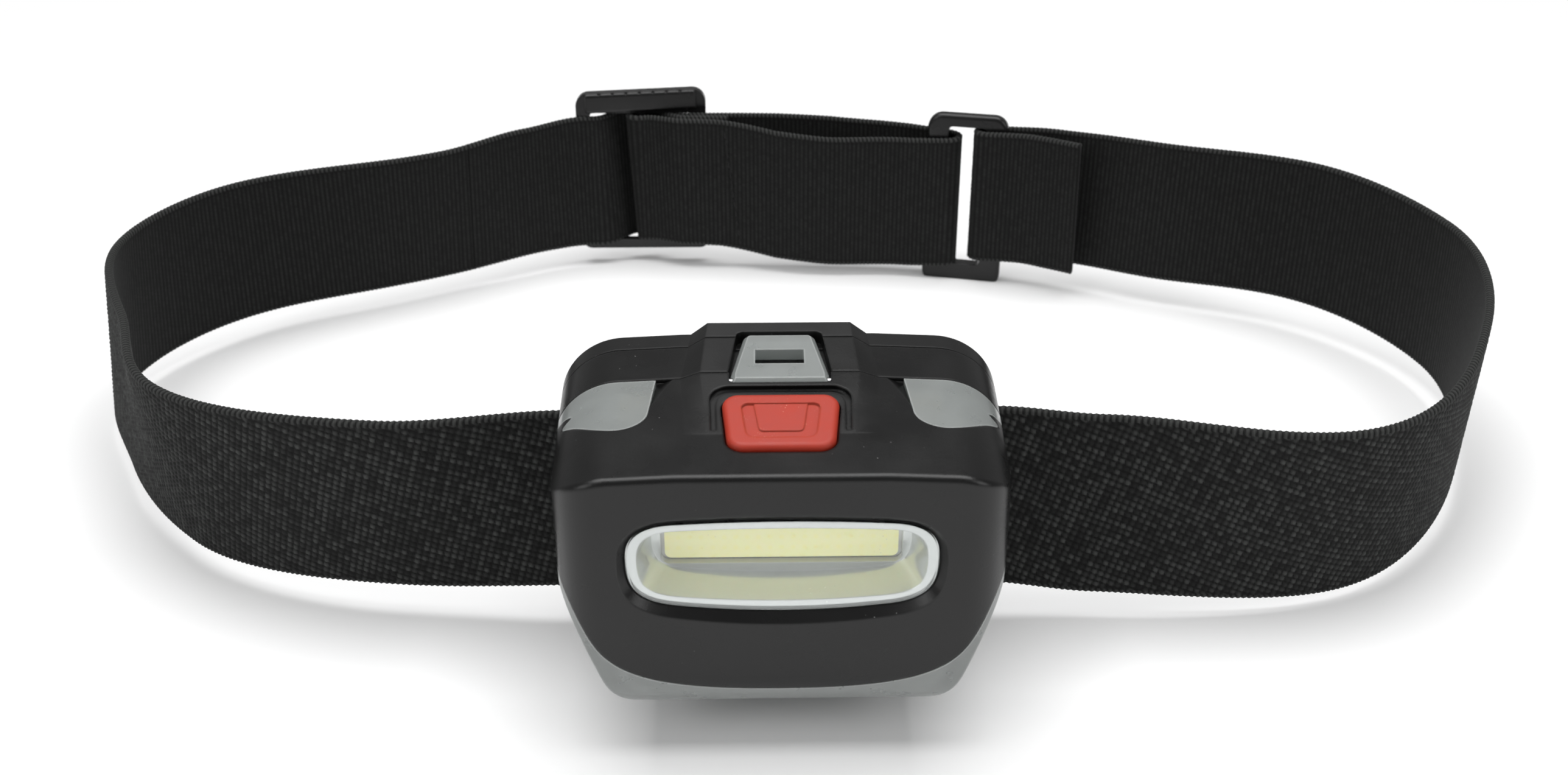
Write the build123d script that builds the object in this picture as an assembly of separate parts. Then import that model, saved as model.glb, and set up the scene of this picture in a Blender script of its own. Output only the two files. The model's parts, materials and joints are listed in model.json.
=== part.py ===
from build123d import *
from math import atan, cos, degrees, radians, sin
import os

# Headlamp on an elastic strap.  Units are millimetres.
# Origin: centre line of the strap at the middle of the lamp.
# +X is to the right seen from in front of the lamp, -Y is where the light shines, +Z is up.

os.makedirs("parts", exist_ok=True)

# ---- Driving dimensions ----------------------------------------------------------------------

# Lamp form
HALF_WIDTH_REAR = 30.45
HALF_WIDTH_FRONT = 28.9
FACE_Y = -33.0
FACE_TOP_Z = 23.1
BOTTOM_Z = -15.1
SHOULDER_SLOPE = 0.135
PLATEAU_SLOPE = 0.21
PLATEAU_REAR_Z = 28.75
PLATEAU_REAR_Y = -3.0
PLATEAU_HALF_FOOT = 13.3
PLATEAU_NOSE_Y = -24.0
CROWN_DROP = 0.8
TOP_CORNER_R = 9.5
FRONT_CORNER_R = 6.0
CHIN_R = 8.5
CHIN_LEAD = 0.03
RIDGE_R = 0.9
JAW_HALF = 20.8
JAW_TOP_HALF = 31.2
JAW_TOP_Z = 10.8
JAW_R = 9.5
JAW_UPPER_R = 28.0
BELLY_HALF = 6.0
BELLY_SAG = 0.8
BELLY_R = 60.0

# Splits from front to back
COVER_BACK_Y = -11.9
HOUSING_FRONT_Y = -11.7
HOUSING_BACK_Y = -4.4
BRACKET_FRONT_Y = -4.15
COVER_WALL = 1.6
HOUSING_WALL = 1.8
BACK_WALL = 1.5
GAP = 0.06
CHIN_GAP = 0.14

# Strap
STRAP_WIDTH = 30.0
STRAP_THICKNESS = 1.3

# Bracket behind the lamp
SLOT_HALF_HEIGHT = 15.7
SLOT_HALF_DEPTH = 1.1
BRACKET_BACK_Y = 3.0
BRACKET_FOOT_Z = -20.4
PAD_THICKNESS = 2.4

# Hinges
TILT_Y = -7.0
TILT_Z = -18.0
TILT_EAR_R = 2.3
TILT_PIN_R = 1.0
OPEN_Y = -11.8
OPEN_Z = -16.85
OPEN_EAR_R = 1.5
OPEN_PIN_R = 0.6
RUNNING = 0.05
EAR_TOP_Z = BOTTOM_Z + 1.3

# Light
LENS_Z = 9.45
LENS_HALF_WIDTH = 19.8
LENS_HALF_HEIGHT = 6.7
LENS_DEPTH = 0.9
LENS_THICKNESS = 0.75
RECESS_HALF_WIDTH = 21.0
RECESS_HALF_HEIGHT = 8.2
BOWL_FRONT = (18.55, 5.45)
BOWL_BACK = (17.0, 4.8)
COB_FACE_Y = -25.0
COB_HALF_WIDTH = 15.3
COB_HALF_HEIGHT = 2.95
COB_BOARD_HALF_HEIGHT = 4.3

# Cells
CELL_R = 5.25
CELL_LENGTH = 44.5
CELL_Y = -12.3
CELL_PITCH = 10.55
CELL_LOW_Z = -3.5

SIDES = (-1, 1)


# ---- Helpers ---------------------------------------------------------------------------------

def shoulder_z(y):
    return FACE_TOP_Z + SHOULDER_SLOPE * (y - FACE_Y)


def plateau_z(y):
    return PLATEAU_REAR_Z + PLATEAU_SLOPE * (y - PLATEAU_REAR_Y)


def block(low, high):
    """Box between two corners."""
    size = [high[i] - low[i] for i in range(3)]
    middle = [(high[i] + low[i]) / 2 for i in range(3)]
    return Pos(*middle) * Box(*size)


def rod(radius, start, end):
    """Round bar between two points."""
    run = Vector(*end) - Vector(*start)
    return extrude(Plane(origin=start, z_dir=run.normalized()) * Circle(radius), run.length)


def front_view(face, y_front, y_back):
    """Extrude an X-Z outline, drawn as (x, z), from y_front back to y_back."""
    return extrude(Plane(origin=(0, y_back, 0), x_dir=(1, 0, 0), z_dir=(0, -1, 0)) * face,
                   y_back - y_front)


def outline(points, radii):
    """Closed polygon with its corners rounded; a radius of 0 leaves a corner sharp."""
    face = make_face(Polyline(*points, close=True))
    for point, radius in zip(points, radii):
        if radius:
            face = fillet(face.vertices().sort_by_distance((point[0], point[1], 0))[0], radius)
    return face


def mirrored_outline(half, radii):
    """Outline symmetric about x = 0 from the right half, listed from top to bottom."""
    left = [(-x, z) for x, z in reversed(half)]
    return outline(half + left, radii + radii[::-1])


def hinge_ear(radius, y, z, web_front, web_back, web_top, x_ends):
    """Hinge knuckle with a web up to the wall it hangs from."""
    near, far = sorted(x_ends)
    web = Pos((web_front + web_back) / 2, (z + web_top) / 2) * Rectangle(web_back - web_front, web_top - z)
    profile = Pos(y, z) * Circle(radius) + web
    return extrude(Plane(origin=(near, 0, 0), x_dir=(0, 1, 0), z_dir=(1, 0, 0)) * profile, far - near)


def cross_bore(shape, radius, side, near_x, far_x, y, z):
    """Shape with a bore along X cut through it, from near_x to far_x on one side of the lamp."""
    return shape - rod(radius, (side * near_x, y, z), (side * far_x, y, z))


def solid(shape):
    """The largest solid of a shape, so that slivers from a cut are dropped."""
    return shape.solids().sort_by(SortBy.VOLUME)[-1]


def save(shape, name):
    shape.label = name
    export_step(shape, f"parts/{name}.step")


# ---- Lamp form: shared by cover, light frame, housing and bracket ----------------------------

def lamp_form(inset, plateau=True):
    """Outer form of the lamp, drawn in by inset on every side but the back."""
    half_rear = HALF_WIDTH_REAR - inset
    half_front = HALF_WIDTH_FRONT - inset
    face_y = FACE_Y + inset
    bottom = BOTTOM_Z + inset
    reach = 60.0

    plan = outline(
        [(-half_rear, 0), (-half_front, face_y), (half_front, face_y), (half_rear, 0)],
        [0, FRONT_CORNER_R - inset / 2, FRONT_CORNER_R - inset / 2, 0])
    form = extrude(Pos(0, 0, -reach) * plan, 2 * reach)

    # the chin curve starts a hair ahead of the face, so that the two meet in a clean edge
    chin_y = face_y - CHIN_LEAD
    side = make_face(
        Plane.YZ * Polyline((0, reach), (chin_y, reach), (chin_y, bottom), (0, bottom), close=True))
    side = fillet(side.vertices().sort_by_distance((0, chin_y, bottom))[0], CHIN_R - inset / 2)
    form = form & extrude(side, reach, both=True)

    top = shoulder_z(0) - inset
    crown = mirrored_outline(
        [(PLATEAU_HALF_FOOT, top), (half_rear + 0.2, top - CROWN_DROP), (half_rear + 0.2, -reach)],
        [0, TOP_CORNER_R - inset, 0])
    crown = Plane(origin=(0, 0, 0), x_dir=(1, 0, 0), z_dir=(0, -1, 0)) * crown
    form = form & extrude(crown, reach, dir=(0, -1, -SHOULDER_SLOPE))

    jaw = mirrored_outline(
        [(JAW_TOP_HALF - inset, reach), (JAW_TOP_HALF - inset, JAW_TOP_Z),
         (JAW_HALF - inset, bottom + BELLY_SAG), (BELLY_HALF, bottom)],
        [0, JAW_UPPER_R, JAW_R - inset / 2, BELLY_R])
    form = solid(form & front_view(jaw, FACE_Y - 1, 1))

    if inset == 0:
        ridge = [e for e in form.edges()
                 if e.center().Y < FACE_Y + 0.2 and e.center().Z > 20 and e.length > 20]
        form = fillet(ridge, RIDGE_R)
    if plateau:
        form = form + plateau_wedge()
    return form


def plateau_wedge():
    """Raised middle of the top: a wedge, widest at the seam, that fades out beside the button."""
    root = 0.6
    sections = []
    for y, half_top, half_foot in ((0.0, 9.8, 12.1), (COVER_BACK_Y, 10.6, PLATEAU_HALF_FOOT),
                                   (PLATEAU_NOSE_Y, 9.4, 12.2)):
        top = plateau_z(y)
        foot = shoulder_z(y)
        section = Polyline((-half_foot, foot - root), (half_foot, foot - root), (half_foot, foot),
                           (half_top, top), (-half_top, top), (-half_foot, foot), close=True)
        sections.append(Plane(origin=(0, y, 0), x_dir=(1, 0, 0), z_dir=(0, -1, 0)) * make_face(section))
    return loft(sections, ruled=True)


FORM = lamp_form(0)
FORM_IN_COVER = lamp_form(COVER_WALL, plateau=False)
FORM_IN_HOUSING = lamp_form(HOUSING_WALL, plateau=False)
SLOPE_TILT = degrees(atan(PLATEAU_SLOPE))


def slab(y_front, y_back):
    return block((-60, y_front, -60), (60, y_back, 60))


def top_plane(y):
    """Plane lying on the plateau at y: local y climbs backwards, local z points out."""
    tilt = radians(SLOPE_TILT)
    return Plane(origin=(0, y, plateau_z(y)), x_dir=(1, 0, 0), z_dir=(0, -sin(tilt), cos(tilt)))


# ---- Corner windows and chin line: where the clear light frame shows -------------------------

WINDOW_BACK_Y = COVER_BACK_Y + 1.0
WINDOW_LOW_Z = 19.6
WINDOW_INNER = 16.4
BAND_LOW_Z = -4.5


def window_face(grow):
    """Plan of the right-hand corner window, grown by grow on its inner and front sides."""
    outer = 33.0
    end_y = -12.3 - grow
    corner = (17.2 - grow, -19.4)
    straight = Polyline((outer, WINDOW_BACK_Y), (WINDOW_INNER - grow, WINDOW_BACK_Y), corner)
    curve = Spline(corner, (18.3, -21.4 - grow), (21.6, -22.6 - grow), (24.4, -21.6 - grow),
                   (26.9 + grow, -19.4 - grow), (28.8 + grow, -16.9 - grow), (outer, end_y),
                   tangents=[(0.2, -1), (1, 0.6)])
    close = Line((outer, end_y), (outer, WINDOW_BACK_Y))
    return make_face(straight.edges() + curve.edges() + close.edges())


def window_block(side, grow):
    face = window_face(grow)
    made = extrude(Pos(0, 0, WINDOW_LOW_Z - grow) * face, 14)
    return made if side > 0 else mirror(made, Plane.YZ)


def window_bevel(side):
    """Sloping cut beside the window: deepest at the seam, gone at the window's front corner."""
    over = 0.6
    depth = 1.1
    rear_z = shoulder_z(COVER_BACK_Y)
    nose_y = -20.4
    nose_z = shoulder_z(nose_y)
    rear = Polyline((12.8, rear_z + over), (WINDOW_INNER + 0.3, rear_z - depth),
                    (WINDOW_INNER + 0.3, rear_z + over), close=True)
    nose = Polyline((17.0, nose_z + over), (17.4, nose_z - 0.05), (17.4, nose_z + over), close=True)
    sections = []
    for y, drawn in ((COVER_BACK_Y + 0.1, rear), (nose_y, nose)):
        sections.append(Plane(origin=(0, y, 0), x_dir=(1, 0, 0), z_dir=(0, -1, 0)) * make_face(drawn))
    made = loft(sections, ruled=True)
    return made if side > 0 else mirror(made, Plane.YZ)


def chin_region(grow):
    """Everything above the curved lower edge of the black cover."""
    low = -9.3 - grow
    curve = Spline((-34, 13.0 - grow), (-27.9, 5.0 - grow), (-21.9, -4.9 - grow), (-15.0, -7.9 - grow),
                   (0, low), (15.0, -7.9 - grow), (21.9, -4.9 - grow), (27.9, 5.0 - grow),
                   (34, 13.0 - grow))
    lid = Polyline((34, 13.0 - grow), (34, 50), (-34, 50), (-34, 13.0 - grow))
    return front_view(make_face(curve.edges() + lid.edges()), -50, 0)


# ---- Latch, button and lens outlines ---------------------------------------------------------

LATCH_ROOT_Y = -12.9
LATCH_THICKNESS = 1.7
LATCH_LENGTH = 9.7
LATCH_SLOT_Y = 4.35
LATCH_ROOT_HALF = 6.6
LATCH_TIP_HALF = 4.8
LATCH_PIN_R = 0.5
BUTTON_Y = -22.4
BUTTON_HALF_LENGTH = 5.3
BUTTON_REAR_HALF = 7.8
BUTTON_FRONT_HALF = 6.75
BUTTON_RISE = 1.0
BUTTON_TRAVEL = 0.8


def latch_outline(grow):
    """Latch tongue seen square on, in top_plane(LATCH_ROOT_Y)."""
    return outline(
        [(-LATCH_ROOT_HALF - grow, -0.85 - grow), (LATCH_ROOT_HALF + grow, -0.85 - grow),
         (LATCH_ROOT_HALF + grow, 0.9), (LATCH_TIP_HALF + grow, LATCH_LENGTH + grow),
         (-LATCH_TIP_HALF - grow, LATCH_LENGTH + grow), (-LATCH_ROOT_HALF - grow, 0.9)],
        [0.7, 0.7, 1.0, 1.2, 1.2, 1.0])


def button_outline(grow):
    """Button seen square on, in top_plane(BUTTON_Y)."""
    return outline(
        [(-BUTTON_FRONT_HALF - grow, -BUTTON_HALF_LENGTH - grow),
         (BUTTON_FRONT_HALF + grow, -BUTTON_HALF_LENGTH - grow),
         (BUTTON_REAR_HALF + grow, BUTTON_HALF_LENGTH + grow),
         (-BUTTON_REAR_HALF - grow, BUTTON_HALF_LENGTH + grow)],
        [2.3 + grow, 2.3 + grow, 2.1 + grow, 2.1 + grow])


def lens_outline(half_width, half_height):
    """Wide window with round ends and gently bowed long sides; (x, z) about the lens centre."""
    shoulder_x = half_width - 0.9 * half_height
    high = 0.94 * half_height
    low = -0.87 * half_height
    top = ThreePointArc((-shoulder_x, high), (0, half_height), (shoulder_x, high))
    bottom = ThreePointArc((shoulder_x, low), (0, -half_height), (-shoulder_x, low))
    right = Spline((shoulder_x, high), (half_width, 0.04 * half_height), (shoulder_x, low),
                   tangents=[top % 1, bottom % 0])
    left = mirror(right, Plane.YZ)
    return make_face(top.edges() + right.edges() + bottom.edges() + left.edges())


def lens_slab(half_width, half_height, y_front, y_back):
    return front_view(Pos(0, LENS_Z) * lens_outline(half_width, half_height), y_front, y_back)


def lens_loft(front, back, y_front, y_back):
    """Loft between two lens outlines given as (half width, half height)."""
    faces = []
    for (half_width, half_height), y in ((front, y_front), (back, y_back)):
        plane = Plane(origin=(0, y, LENS_Z), x_dir=(1, 0, 0), z_dir=(0, -1, 0))
        faces.append(plane * lens_outline(half_width, half_height))
    return loft(faces)


# ---- Room for the three cells ----------------------------------------------------------------

CELL_SPOTS = [CELL_LOW_Z + i * CELL_PITCH for i in range(3)]
CAN_HALF = CELL_LENGTH / 2 - 0.6
CONTACT_X = 22.88
CONTACT_THICKNESS = 0.25
SPRING_R = 2.3
SPRING_WIRE_R = 0.16


def can(grow, z):
    """Cell body without its positive nub, grown by grow."""
    half = CAN_HALF + grow
    body = rod(CELL_R + grow, (-half, CELL_Y, z), (half, CELL_Y, z))
    return fillet(body.edges().filter_by(GeomType.CIRCLE), 0.5)


def contact_plate(side, z, grow):
    """Contact plate at one end of a cell, grown by grow."""
    near, far = sorted((side * CONTACT_X, side * (CONTACT_X + CONTACT_THICKNESS)))
    low = (near - grow, CELL_Y - 1.6 - grow, z - 0.8 - grow)
    high = (far + grow, CELL_Y + 4.0 + grow, z + 3.2 + grow)
    return block(low, high)


def cell_room():
    """Cut that keeps walls clear of the lowest cell and its contacts, where the lamp narrows."""
    room = can(0.12, CELL_LOW_Z)
    end_x = CONTACT_X + 0.08
    spring_r = SPRING_R + SPRING_WIRE_R + 0.04
    room = room + rod(spring_r, (-end_x, CELL_Y, CELL_LOW_Z), (end_x, CELL_Y, CELL_LOW_Z))
    for side in SIDES:
        room = room + contact_plate(side, CELL_LOW_Z, 0.08)
    return room


# ---- Front cover -----------------------------------------------------------------------------

BOSS_R = 1.9
BOSS_SPOTS = [(side * x, z) for side in SIDES for x, z in ((22.9, 2.8), (24.7, 16.0))]
PCB_FRONT_Y = -20.4
PCB_BACK_Y = -18.8
SCREW_R = 0.8


def make_cover():
    cover = FORM & slab(FACE_Y - 1, COVER_BACK_Y) & chin_region(0)
    cover = cover - FORM_IN_COVER
    for side in SIDES:
        cover = cover - window_block(side, 0)
        cover = cover - window_bevel(side)
    # light opening with a glossy bevel round it
    opening = (LENS_HALF_WIDTH + 0.15, LENS_HALF_HEIGHT + 0.15)
    cover = cover - lens_slab(*opening, FACE_Y - 1, FACE_Y + 3)
    cover = cover - lens_loft((RECESS_HALF_WIDTH, RECESS_HALF_HEIGHT), opening, FACE_Y - 0.02, FACE_Y + 1.2)
    # button aperture and the groove that runs round three sides of it
    plane = top_plane(BUTTON_Y)
    cover = cover - extrude(plane * Pos(0, 0, -8) * button_outline(0.22), 12)
    groove = button_groove()
    cover = cover - extrude(plane * Pos(0, 0, -0.75) * groove, 3)
    # pocket and pin bore for the latch
    latch_plane = top_plane(LATCH_ROOT_Y)
    cover = cover - extrude(latch_plane * Pos(0, 0, -LATCH_THICKNESS - 0.2) * latch_outline(0.18), 4)
    pin_z = -LATCH_THICKNESS / 2
    bore = rod(LATCH_PIN_R + 0.01, (-9.2, 0, 0), (9.2, 0, 0))
    cover = cover - latch_plane.location * Pos(0, 0, pin_z) * bore
    # screw bosses for the circuit board
    for x, z in BOSS_SPOTS:
        boss = rod(BOSS_R, (x, FACE_Y + 2.5, z), (x, PCB_FRONT_Y - GAP, z))
        boss = boss + rod(BOSS_R, (x, FACE_Y + 1.0, z), (x, FACE_Y + 2.6, z)) & FORM
        cover = cover + boss
        cover = cover - rod(SCREW_R, (x, PCB_FRONT_Y - 6, z), (x, PCB_FRONT_Y + 1, z))
    return solid(cover)


def button_groove():
    """U-shaped channel behind and beside the button, square on in top_plane(BUTTON_Y)."""
    outer = outline([(-9.0, -1.0), (9.0, -1.0), (9.4, 7.95), (-9.4, 7.95)], [0, 0, 2.6, 2.6])
    inner = outline([(-8.2, -2.0), (8.2, -2.0), (8.5, 6.55), (-8.5, 6.55)], [0, 0, 2.0, 2.0])
    return outer - inner


# ---- Clear light frame -----------------------------------------------------------------------

def make_light_frame():
    shell = FORM & slab(FACE_Y - 1, COVER_BACK_Y)
    shell = shell - FORM_IN_COVER
    chin = shell - chin_region(CHIN_GAP)
    frame = solid(chin)
    # bridge the small gap between the chin shell and the inner band
    step = (FORM & slab(COVER_BACK_Y - 3.0, COVER_BACK_Y)) - lamp_form(COVER_WALL + 1.0, plateau=False)
    low_half = block((-60, -60, -60), (60, 0, BAND_LOW_Z))
    frame = frame + (step - chin_region(CHIN_GAP) - low_half)
    inner_wall = lamp_form(COVER_WALL + GAP, plateau=False) - lamp_form(COVER_WALL + 0.9, plateau=False)
    band = inner_wall & slab(COVER_BACK_Y - 6.0, COVER_BACK_Y)
    band = band - block((-PLATEAU_HALF_FOOT - 0.1, -40, 10), (PLATEAU_HALF_FOOT + 0.1, 0, 40)) - low_half
    frame = frame + band
    for side in SIDES:
        pane = FORM & window_block(side, -GAP) & slab(-40, COVER_BACK_Y)
        pane = pane - lamp_form(COVER_WALL + 0.9, plateau=False)
        frame = frame + pane
    for side in SIDES:
        frame = frame + hinge_ear(OPEN_EAR_R, OPEN_Y, OPEN_Z, OPEN_Y - OPEN_EAR_R + 0.05, COVER_BACK_Y,
                                  EAR_TOP_Z, (side * 14.0, side * 16.3))
        frame = cross_bore(frame, OPEN_PIN_R + RUNNING, side, 13.5, 17.0, OPEN_Y, OPEN_Z)
    frame = frame - cell_room()
    return solid(frame)


# ---- Battery housing -------------------------------------------------------------------------

def latch_channel():
    """Room for the tongue in the housing and the bracket rim."""
    plane = top_plane(LATCH_ROOT_Y)
    room = outline(
        [(-LATCH_ROOT_HALF - 0.35, -2), (LATCH_ROOT_HALF + 0.35, -2),
         (LATCH_ROOT_HALF + 0.35, 1.2), (LATCH_TIP_HALF + 1.0, LATCH_LENGTH + 0.3),
         (-LATCH_TIP_HALF - 1.0, LATCH_LENGTH + 0.3), (-LATCH_ROOT_HALF - 0.35, 1.2)],
        [0, 0, 0, 1.0, 1.0, 0])
    return extrude(plane * Pos(0, 0, -LATCH_THICKNESS - 0.3) * room, 6)


def make_housing():
    body = FORM & slab(HOUSING_FRONT_Y, HOUSING_BACK_Y)
    hollow = FORM_IN_HOUSING & slab(HOUSING_FRONT_Y - 1, HOUSING_BACK_Y - BACK_WALL)
    housing = body - hollow
    # cradle ribs between the cells
    for x in (-13.0, 13.0):
        rib = block((x - 0.6, CELL_Y + 1.0, CELL_LOW_Z - 5.0), (x + 0.6, HOUSING_BACK_Y - 1.0, 23.0))
        for z in CELL_SPOTS:
            rib = rib - rod(CELL_R + 0.25, (x - 2, CELL_Y, z), (x + 2, CELL_Y, z))
        housing = housing + (rib & lamp_form(HOUSING_WALL - 0.4, plateau=False))
    housing = housing - latch_channel() - cell_room()
    # hook under the slot of the tongue
    plane = top_plane(LATCH_ROOT_Y)
    hook = plane * Pos(0, LATCH_SLOT_Y + 0.15, -LATCH_THICKNESS - 0.35) * Box(5.0, 1.4, 0.6)
    housing = housing + hook
    for side in SIDES:
        housing = housing + hinge_ear(OPEN_EAR_R, OPEN_Y, OPEN_Z, HOUSING_FRONT_Y, OPEN_Y + OPEN_EAR_R - 0.05,
                                      EAR_TOP_Z, (side * 11.5, side * 13.8))
        housing = housing + hinge_ear(TILT_EAR_R, TILT_Y, TILT_Z, TILT_Y - 1.4, TILT_Y + TILT_EAR_R - 0.05,
                                      EAR_TOP_Z, (side * 8.8, side * 12.8))
        housing = cross_bore(housing, OPEN_PIN_R + 0.01, side, 11.0, 15.0, OPEN_Y, OPEN_Z)
        housing = cross_bore(housing, TILT_PIN_R + RUNNING, side, 8.0, 14.0, TILT_Y, TILT_Z)
    # groove for the compartment gasket
    housing = housing - (gasket_ring(0.5, 1.3) & slab(HOUSING_FRONT_Y - 0.5, HOUSING_FRONT_Y + 0.8))
    return solid(housing)


def gasket_ring(outer_inset, inner_inset):
    """Loop that follows the housing's front edge, below the latch channel."""
    ring = lamp_form(outer_inset, plateau=False) - lamp_form(inner_inset, plateau=False)
    return ring - block((-9.5, -40, 15), (9.5, 0, 40))


def make_gasket():
    ring = gasket_ring(0.6, 1.2) & slab(HOUSING_FRONT_Y - 0.1, HOUSING_FRONT_Y + 0.7)
    return solid(ring)


# ---- Rear bracket and forehead pad -----------------------------------------------------------

def make_bracket():
    plate = FORM & slab(BRACKET_FRONT_Y, -SLOT_HALF_DEPTH)
    foot_width = 21.0
    plate = plate + block((-foot_width, BRACKET_FRONT_Y, BRACKET_FOOT_Z),
                          (foot_width, -SLOT_HALF_DEPTH, BOTTOM_Z + 2))
    room = 31.0
    back = outline([(-27, BRACKET_FOOT_Z), (27, BRACKET_FOOT_Z), (27, 21.5), (-27, 21.5)], [4, 4, 6, 6])
    back_plate = front_view(back, SLOT_HALF_DEPTH, BRACKET_BACK_Y)
    upper = front_view(outline([(-24, SLOT_HALF_HEIGHT), (24, SLOT_HALF_HEIGHT), (22, 21.5), (-22, 21.5)],
                               [0, 0, 3, 3]), BRACKET_FRONT_Y + 1, BRACKET_BACK_Y)
    lower = block((-foot_width, BRACKET_FRONT_Y, BRACKET_FOOT_Z),
                  (foot_width, BRACKET_BACK_Y, -SLOT_HALF_HEIGHT))
    bracket = plate + back_plate + upper + lower
    bracket = bracket - block((-room, -SLOT_HALF_DEPTH, -SLOT_HALF_HEIGHT),
                              (room, SLOT_HALF_DEPTH, SLOT_HALF_HEIGHT))
    bracket = bracket - latch_channel()
    for side in SIDES:
        near, far = sorted((side * 13.1, side * 17.1))
        reach = BRACKET_FRONT_Y + 0.5 - TILT_Y
        profile = Pos(TILT_Y, TILT_Z) * Circle(TILT_EAR_R)
        profile = profile + Pos(TILT_Y + reach / 2, TILT_Z) * Rectangle(reach, 2 * TILT_EAR_R - 0.1)
        ear_plane = Plane(origin=(near, 0, 0), x_dir=(0, 1, 0), z_dir=(1, 0, 0))
        bracket = bracket + extrude(ear_plane * profile, far - near)
        bracket = bracket - rod(TILT_PIN_R + 0.01, (near - 1, TILT_Y, TILT_Z), (far + 1, TILT_Y, TILT_Z))
    return solid(bracket)


def make_pad():
    pad = front_view(outline([(-25, -18.5), (25, -18.5), (25, 19.5), (-25, 19.5)], [6, 6, 6, 6]),
                     BRACKET_BACK_Y, BRACKET_BACK_Y + PAD_THICKNESS)
    rim = pad.faces().sort_by(Axis.Y)[-1].edges()
    return fillet(rim, 0.7)


# ---- Latch tongue, button and switch ---------------------------------------------------------

def make_latch():
    plane = top_plane(LATCH_ROOT_Y)
    tongue = extrude(Pos(0, 0, -LATCH_THICKNESS) * latch_outline(0), LATCH_THICKNESS + 0.1)
    top_edges = tongue.faces().sort_by(Axis.Z)[-1].edges()
    bevel = [e for e in top_edges if e.center().Y > 0.5]
    tongue = chamfer(bevel, 0.7)
    front = [e for e in tongue.edges() if e.center().Y < -0.8 and abs(e.center().X) < 1]
    tongue = fillet(front, 0.75)
    slot = Pos(0, LATCH_SLOT_Y, 0) * Box(6.6, 3.0, 8)
    tongue = tongue - slot
    tongue = tongue - rod(LATCH_PIN_R + RUNNING, (-9, 0, -LATCH_THICKNESS / 2), (9, 0, -LATCH_THICKNESS / 2))
    return solid(plane.location * tongue)


def make_latch_pin():
    plane = top_plane(LATCH_ROOT_Y)
    pin = rod(LATCH_PIN_R, (-9.0, 0, 0), (9.0, 0, 0))
    return solid(plane.location * Pos(0, 0, -LATCH_THICKNESS / 2) * pin)


BUTTON_SKIRT_Z = -3.15
STEM_END_Z = -5.2


def make_button():
    body = extrude(Pos(0, 0, BUTTON_SKIRT_Z) * button_outline(0), BUTTON_RISE - BUTTON_SKIRT_Z)
    body = fillet(body.faces().sort_by(Axis.Z)[-1].edges(), 0.8)
    channel = outline([(-4.4, -3.4), (4.4, -3.4), (5.2, 3.2), (-5.2, 3.2)], [1.3, 1.3, 0.9, 0.9])
    bump = outline([(-2.8, -2.1), (2.8, -2.1), (3.6, 4.0), (-3.6, 4.0)], [0.7, 0.7, 0.3, 0.3])
    channel_cut = extrude(Pos(0, 0, BUTTON_RISE - 0.32) * channel, 2)
    bump_keep = extrude(Pos(0, 0, BUTTON_RISE - 1) * bump, 0.85)
    body = body - (channel_cut - bump_keep)
    skirt = extrude(Pos(0, 0, BUTTON_SKIRT_Z) * button_outline(1.1), 0.7)
    stem = extrude(Pos(0, 0, STEM_END_Z) * Circle(1.6), BUTTON_SKIRT_Z - STEM_END_Z + 0.5)
    return solid(top_plane(BUTTON_Y).location * (body + skirt + stem))


SWITCH_TOP_Z = -7.2


def make_switch():
    body = Pos(0, 0, SWITCH_TOP_Z - 1.75) * Box(6.0, 3.4, 3.5)
    well = extrude(Pos(0, 0, SWITCH_TOP_Z - 2.4) * Circle(1.2 + RUNNING), 5)
    return solid(top_plane(BUTTON_Y).location * (body - well))


def make_plunger():
    plunger = extrude(Pos(0, 0, SWITCH_TOP_Z - 1.2) * Circle(1.2), STEM_END_Z - 0.06 - SWITCH_TOP_Z + 1.2)
    return solid(top_plane(BUTTON_Y).location * plunger)


# ---- Light engine ----------------------------------------------------------------------------

LENS_FRONT_Y = FACE_Y + LENS_DEPTH
LENS_BACK_Y = LENS_FRONT_Y + LENS_THICKNESS
REFLECTOR_FRONT_Y = LENS_BACK_Y + GAP
FLANGE_BACK_Y = REFLECTOR_FRONT_Y + 1.1


def make_lens():
    lens = lens_slab(LENS_HALF_WIDTH, LENS_HALF_HEIGHT, LENS_FRONT_Y, LENS_BACK_Y)
    front = lens.faces().sort_by(Axis.Y)[0].edges()
    return fillet(front, 0.25)


def make_reflector():
    flange_y = max(REFLECTOR_FRONT_Y, FACE_Y + COVER_WALL + GAP)
    rim = lens_slab(LENS_HALF_WIDTH, LENS_HALF_HEIGHT, REFLECTOR_FRONT_Y, FLANGE_BACK_Y)
    flange = lens_slab(LENS_HALF_WIDTH + 1.2, LENS_HALF_HEIGHT + 1.0, flange_y, FLANGE_BACK_Y)
    shell = lens_loft((LENS_HALF_WIDTH - 0.4, LENS_HALF_HEIGHT - 0.2), (18.2, 5.7),
                      FLANGE_BACK_Y - 0.3, COB_FACE_Y + 0.5)
    reflector = rim + flange + shell
    bowl = lens_loft(BOWL_FRONT, BOWL_BACK, REFLECTOR_FRONT_Y - 0.1, COB_FACE_Y - 0.6)
    well = front_view(cob_outline(0.5, 1.1), COB_FACE_Y - 1.5, COB_FACE_Y + 1)
    return solid(reflector - bowl - well)


def cob_outline(grow, corner):
    """Light-emitting rectangle with rounded corners, grown by grow."""
    width = 2 * (COB_HALF_WIDTH + grow)
    height = 2 * (COB_HALF_HEIGHT + grow)
    return Pos(0, LENS_Z) * RectangleRounded(width, height, corner)


def make_cob_board():
    board = Pos(0, LENS_Z) * Rectangle(37, 2 * COB_BOARD_HALF_HEIGHT)
    return solid(front_view(board, COB_FACE_Y + 0.56, COB_FACE_Y + 1.76))


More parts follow.
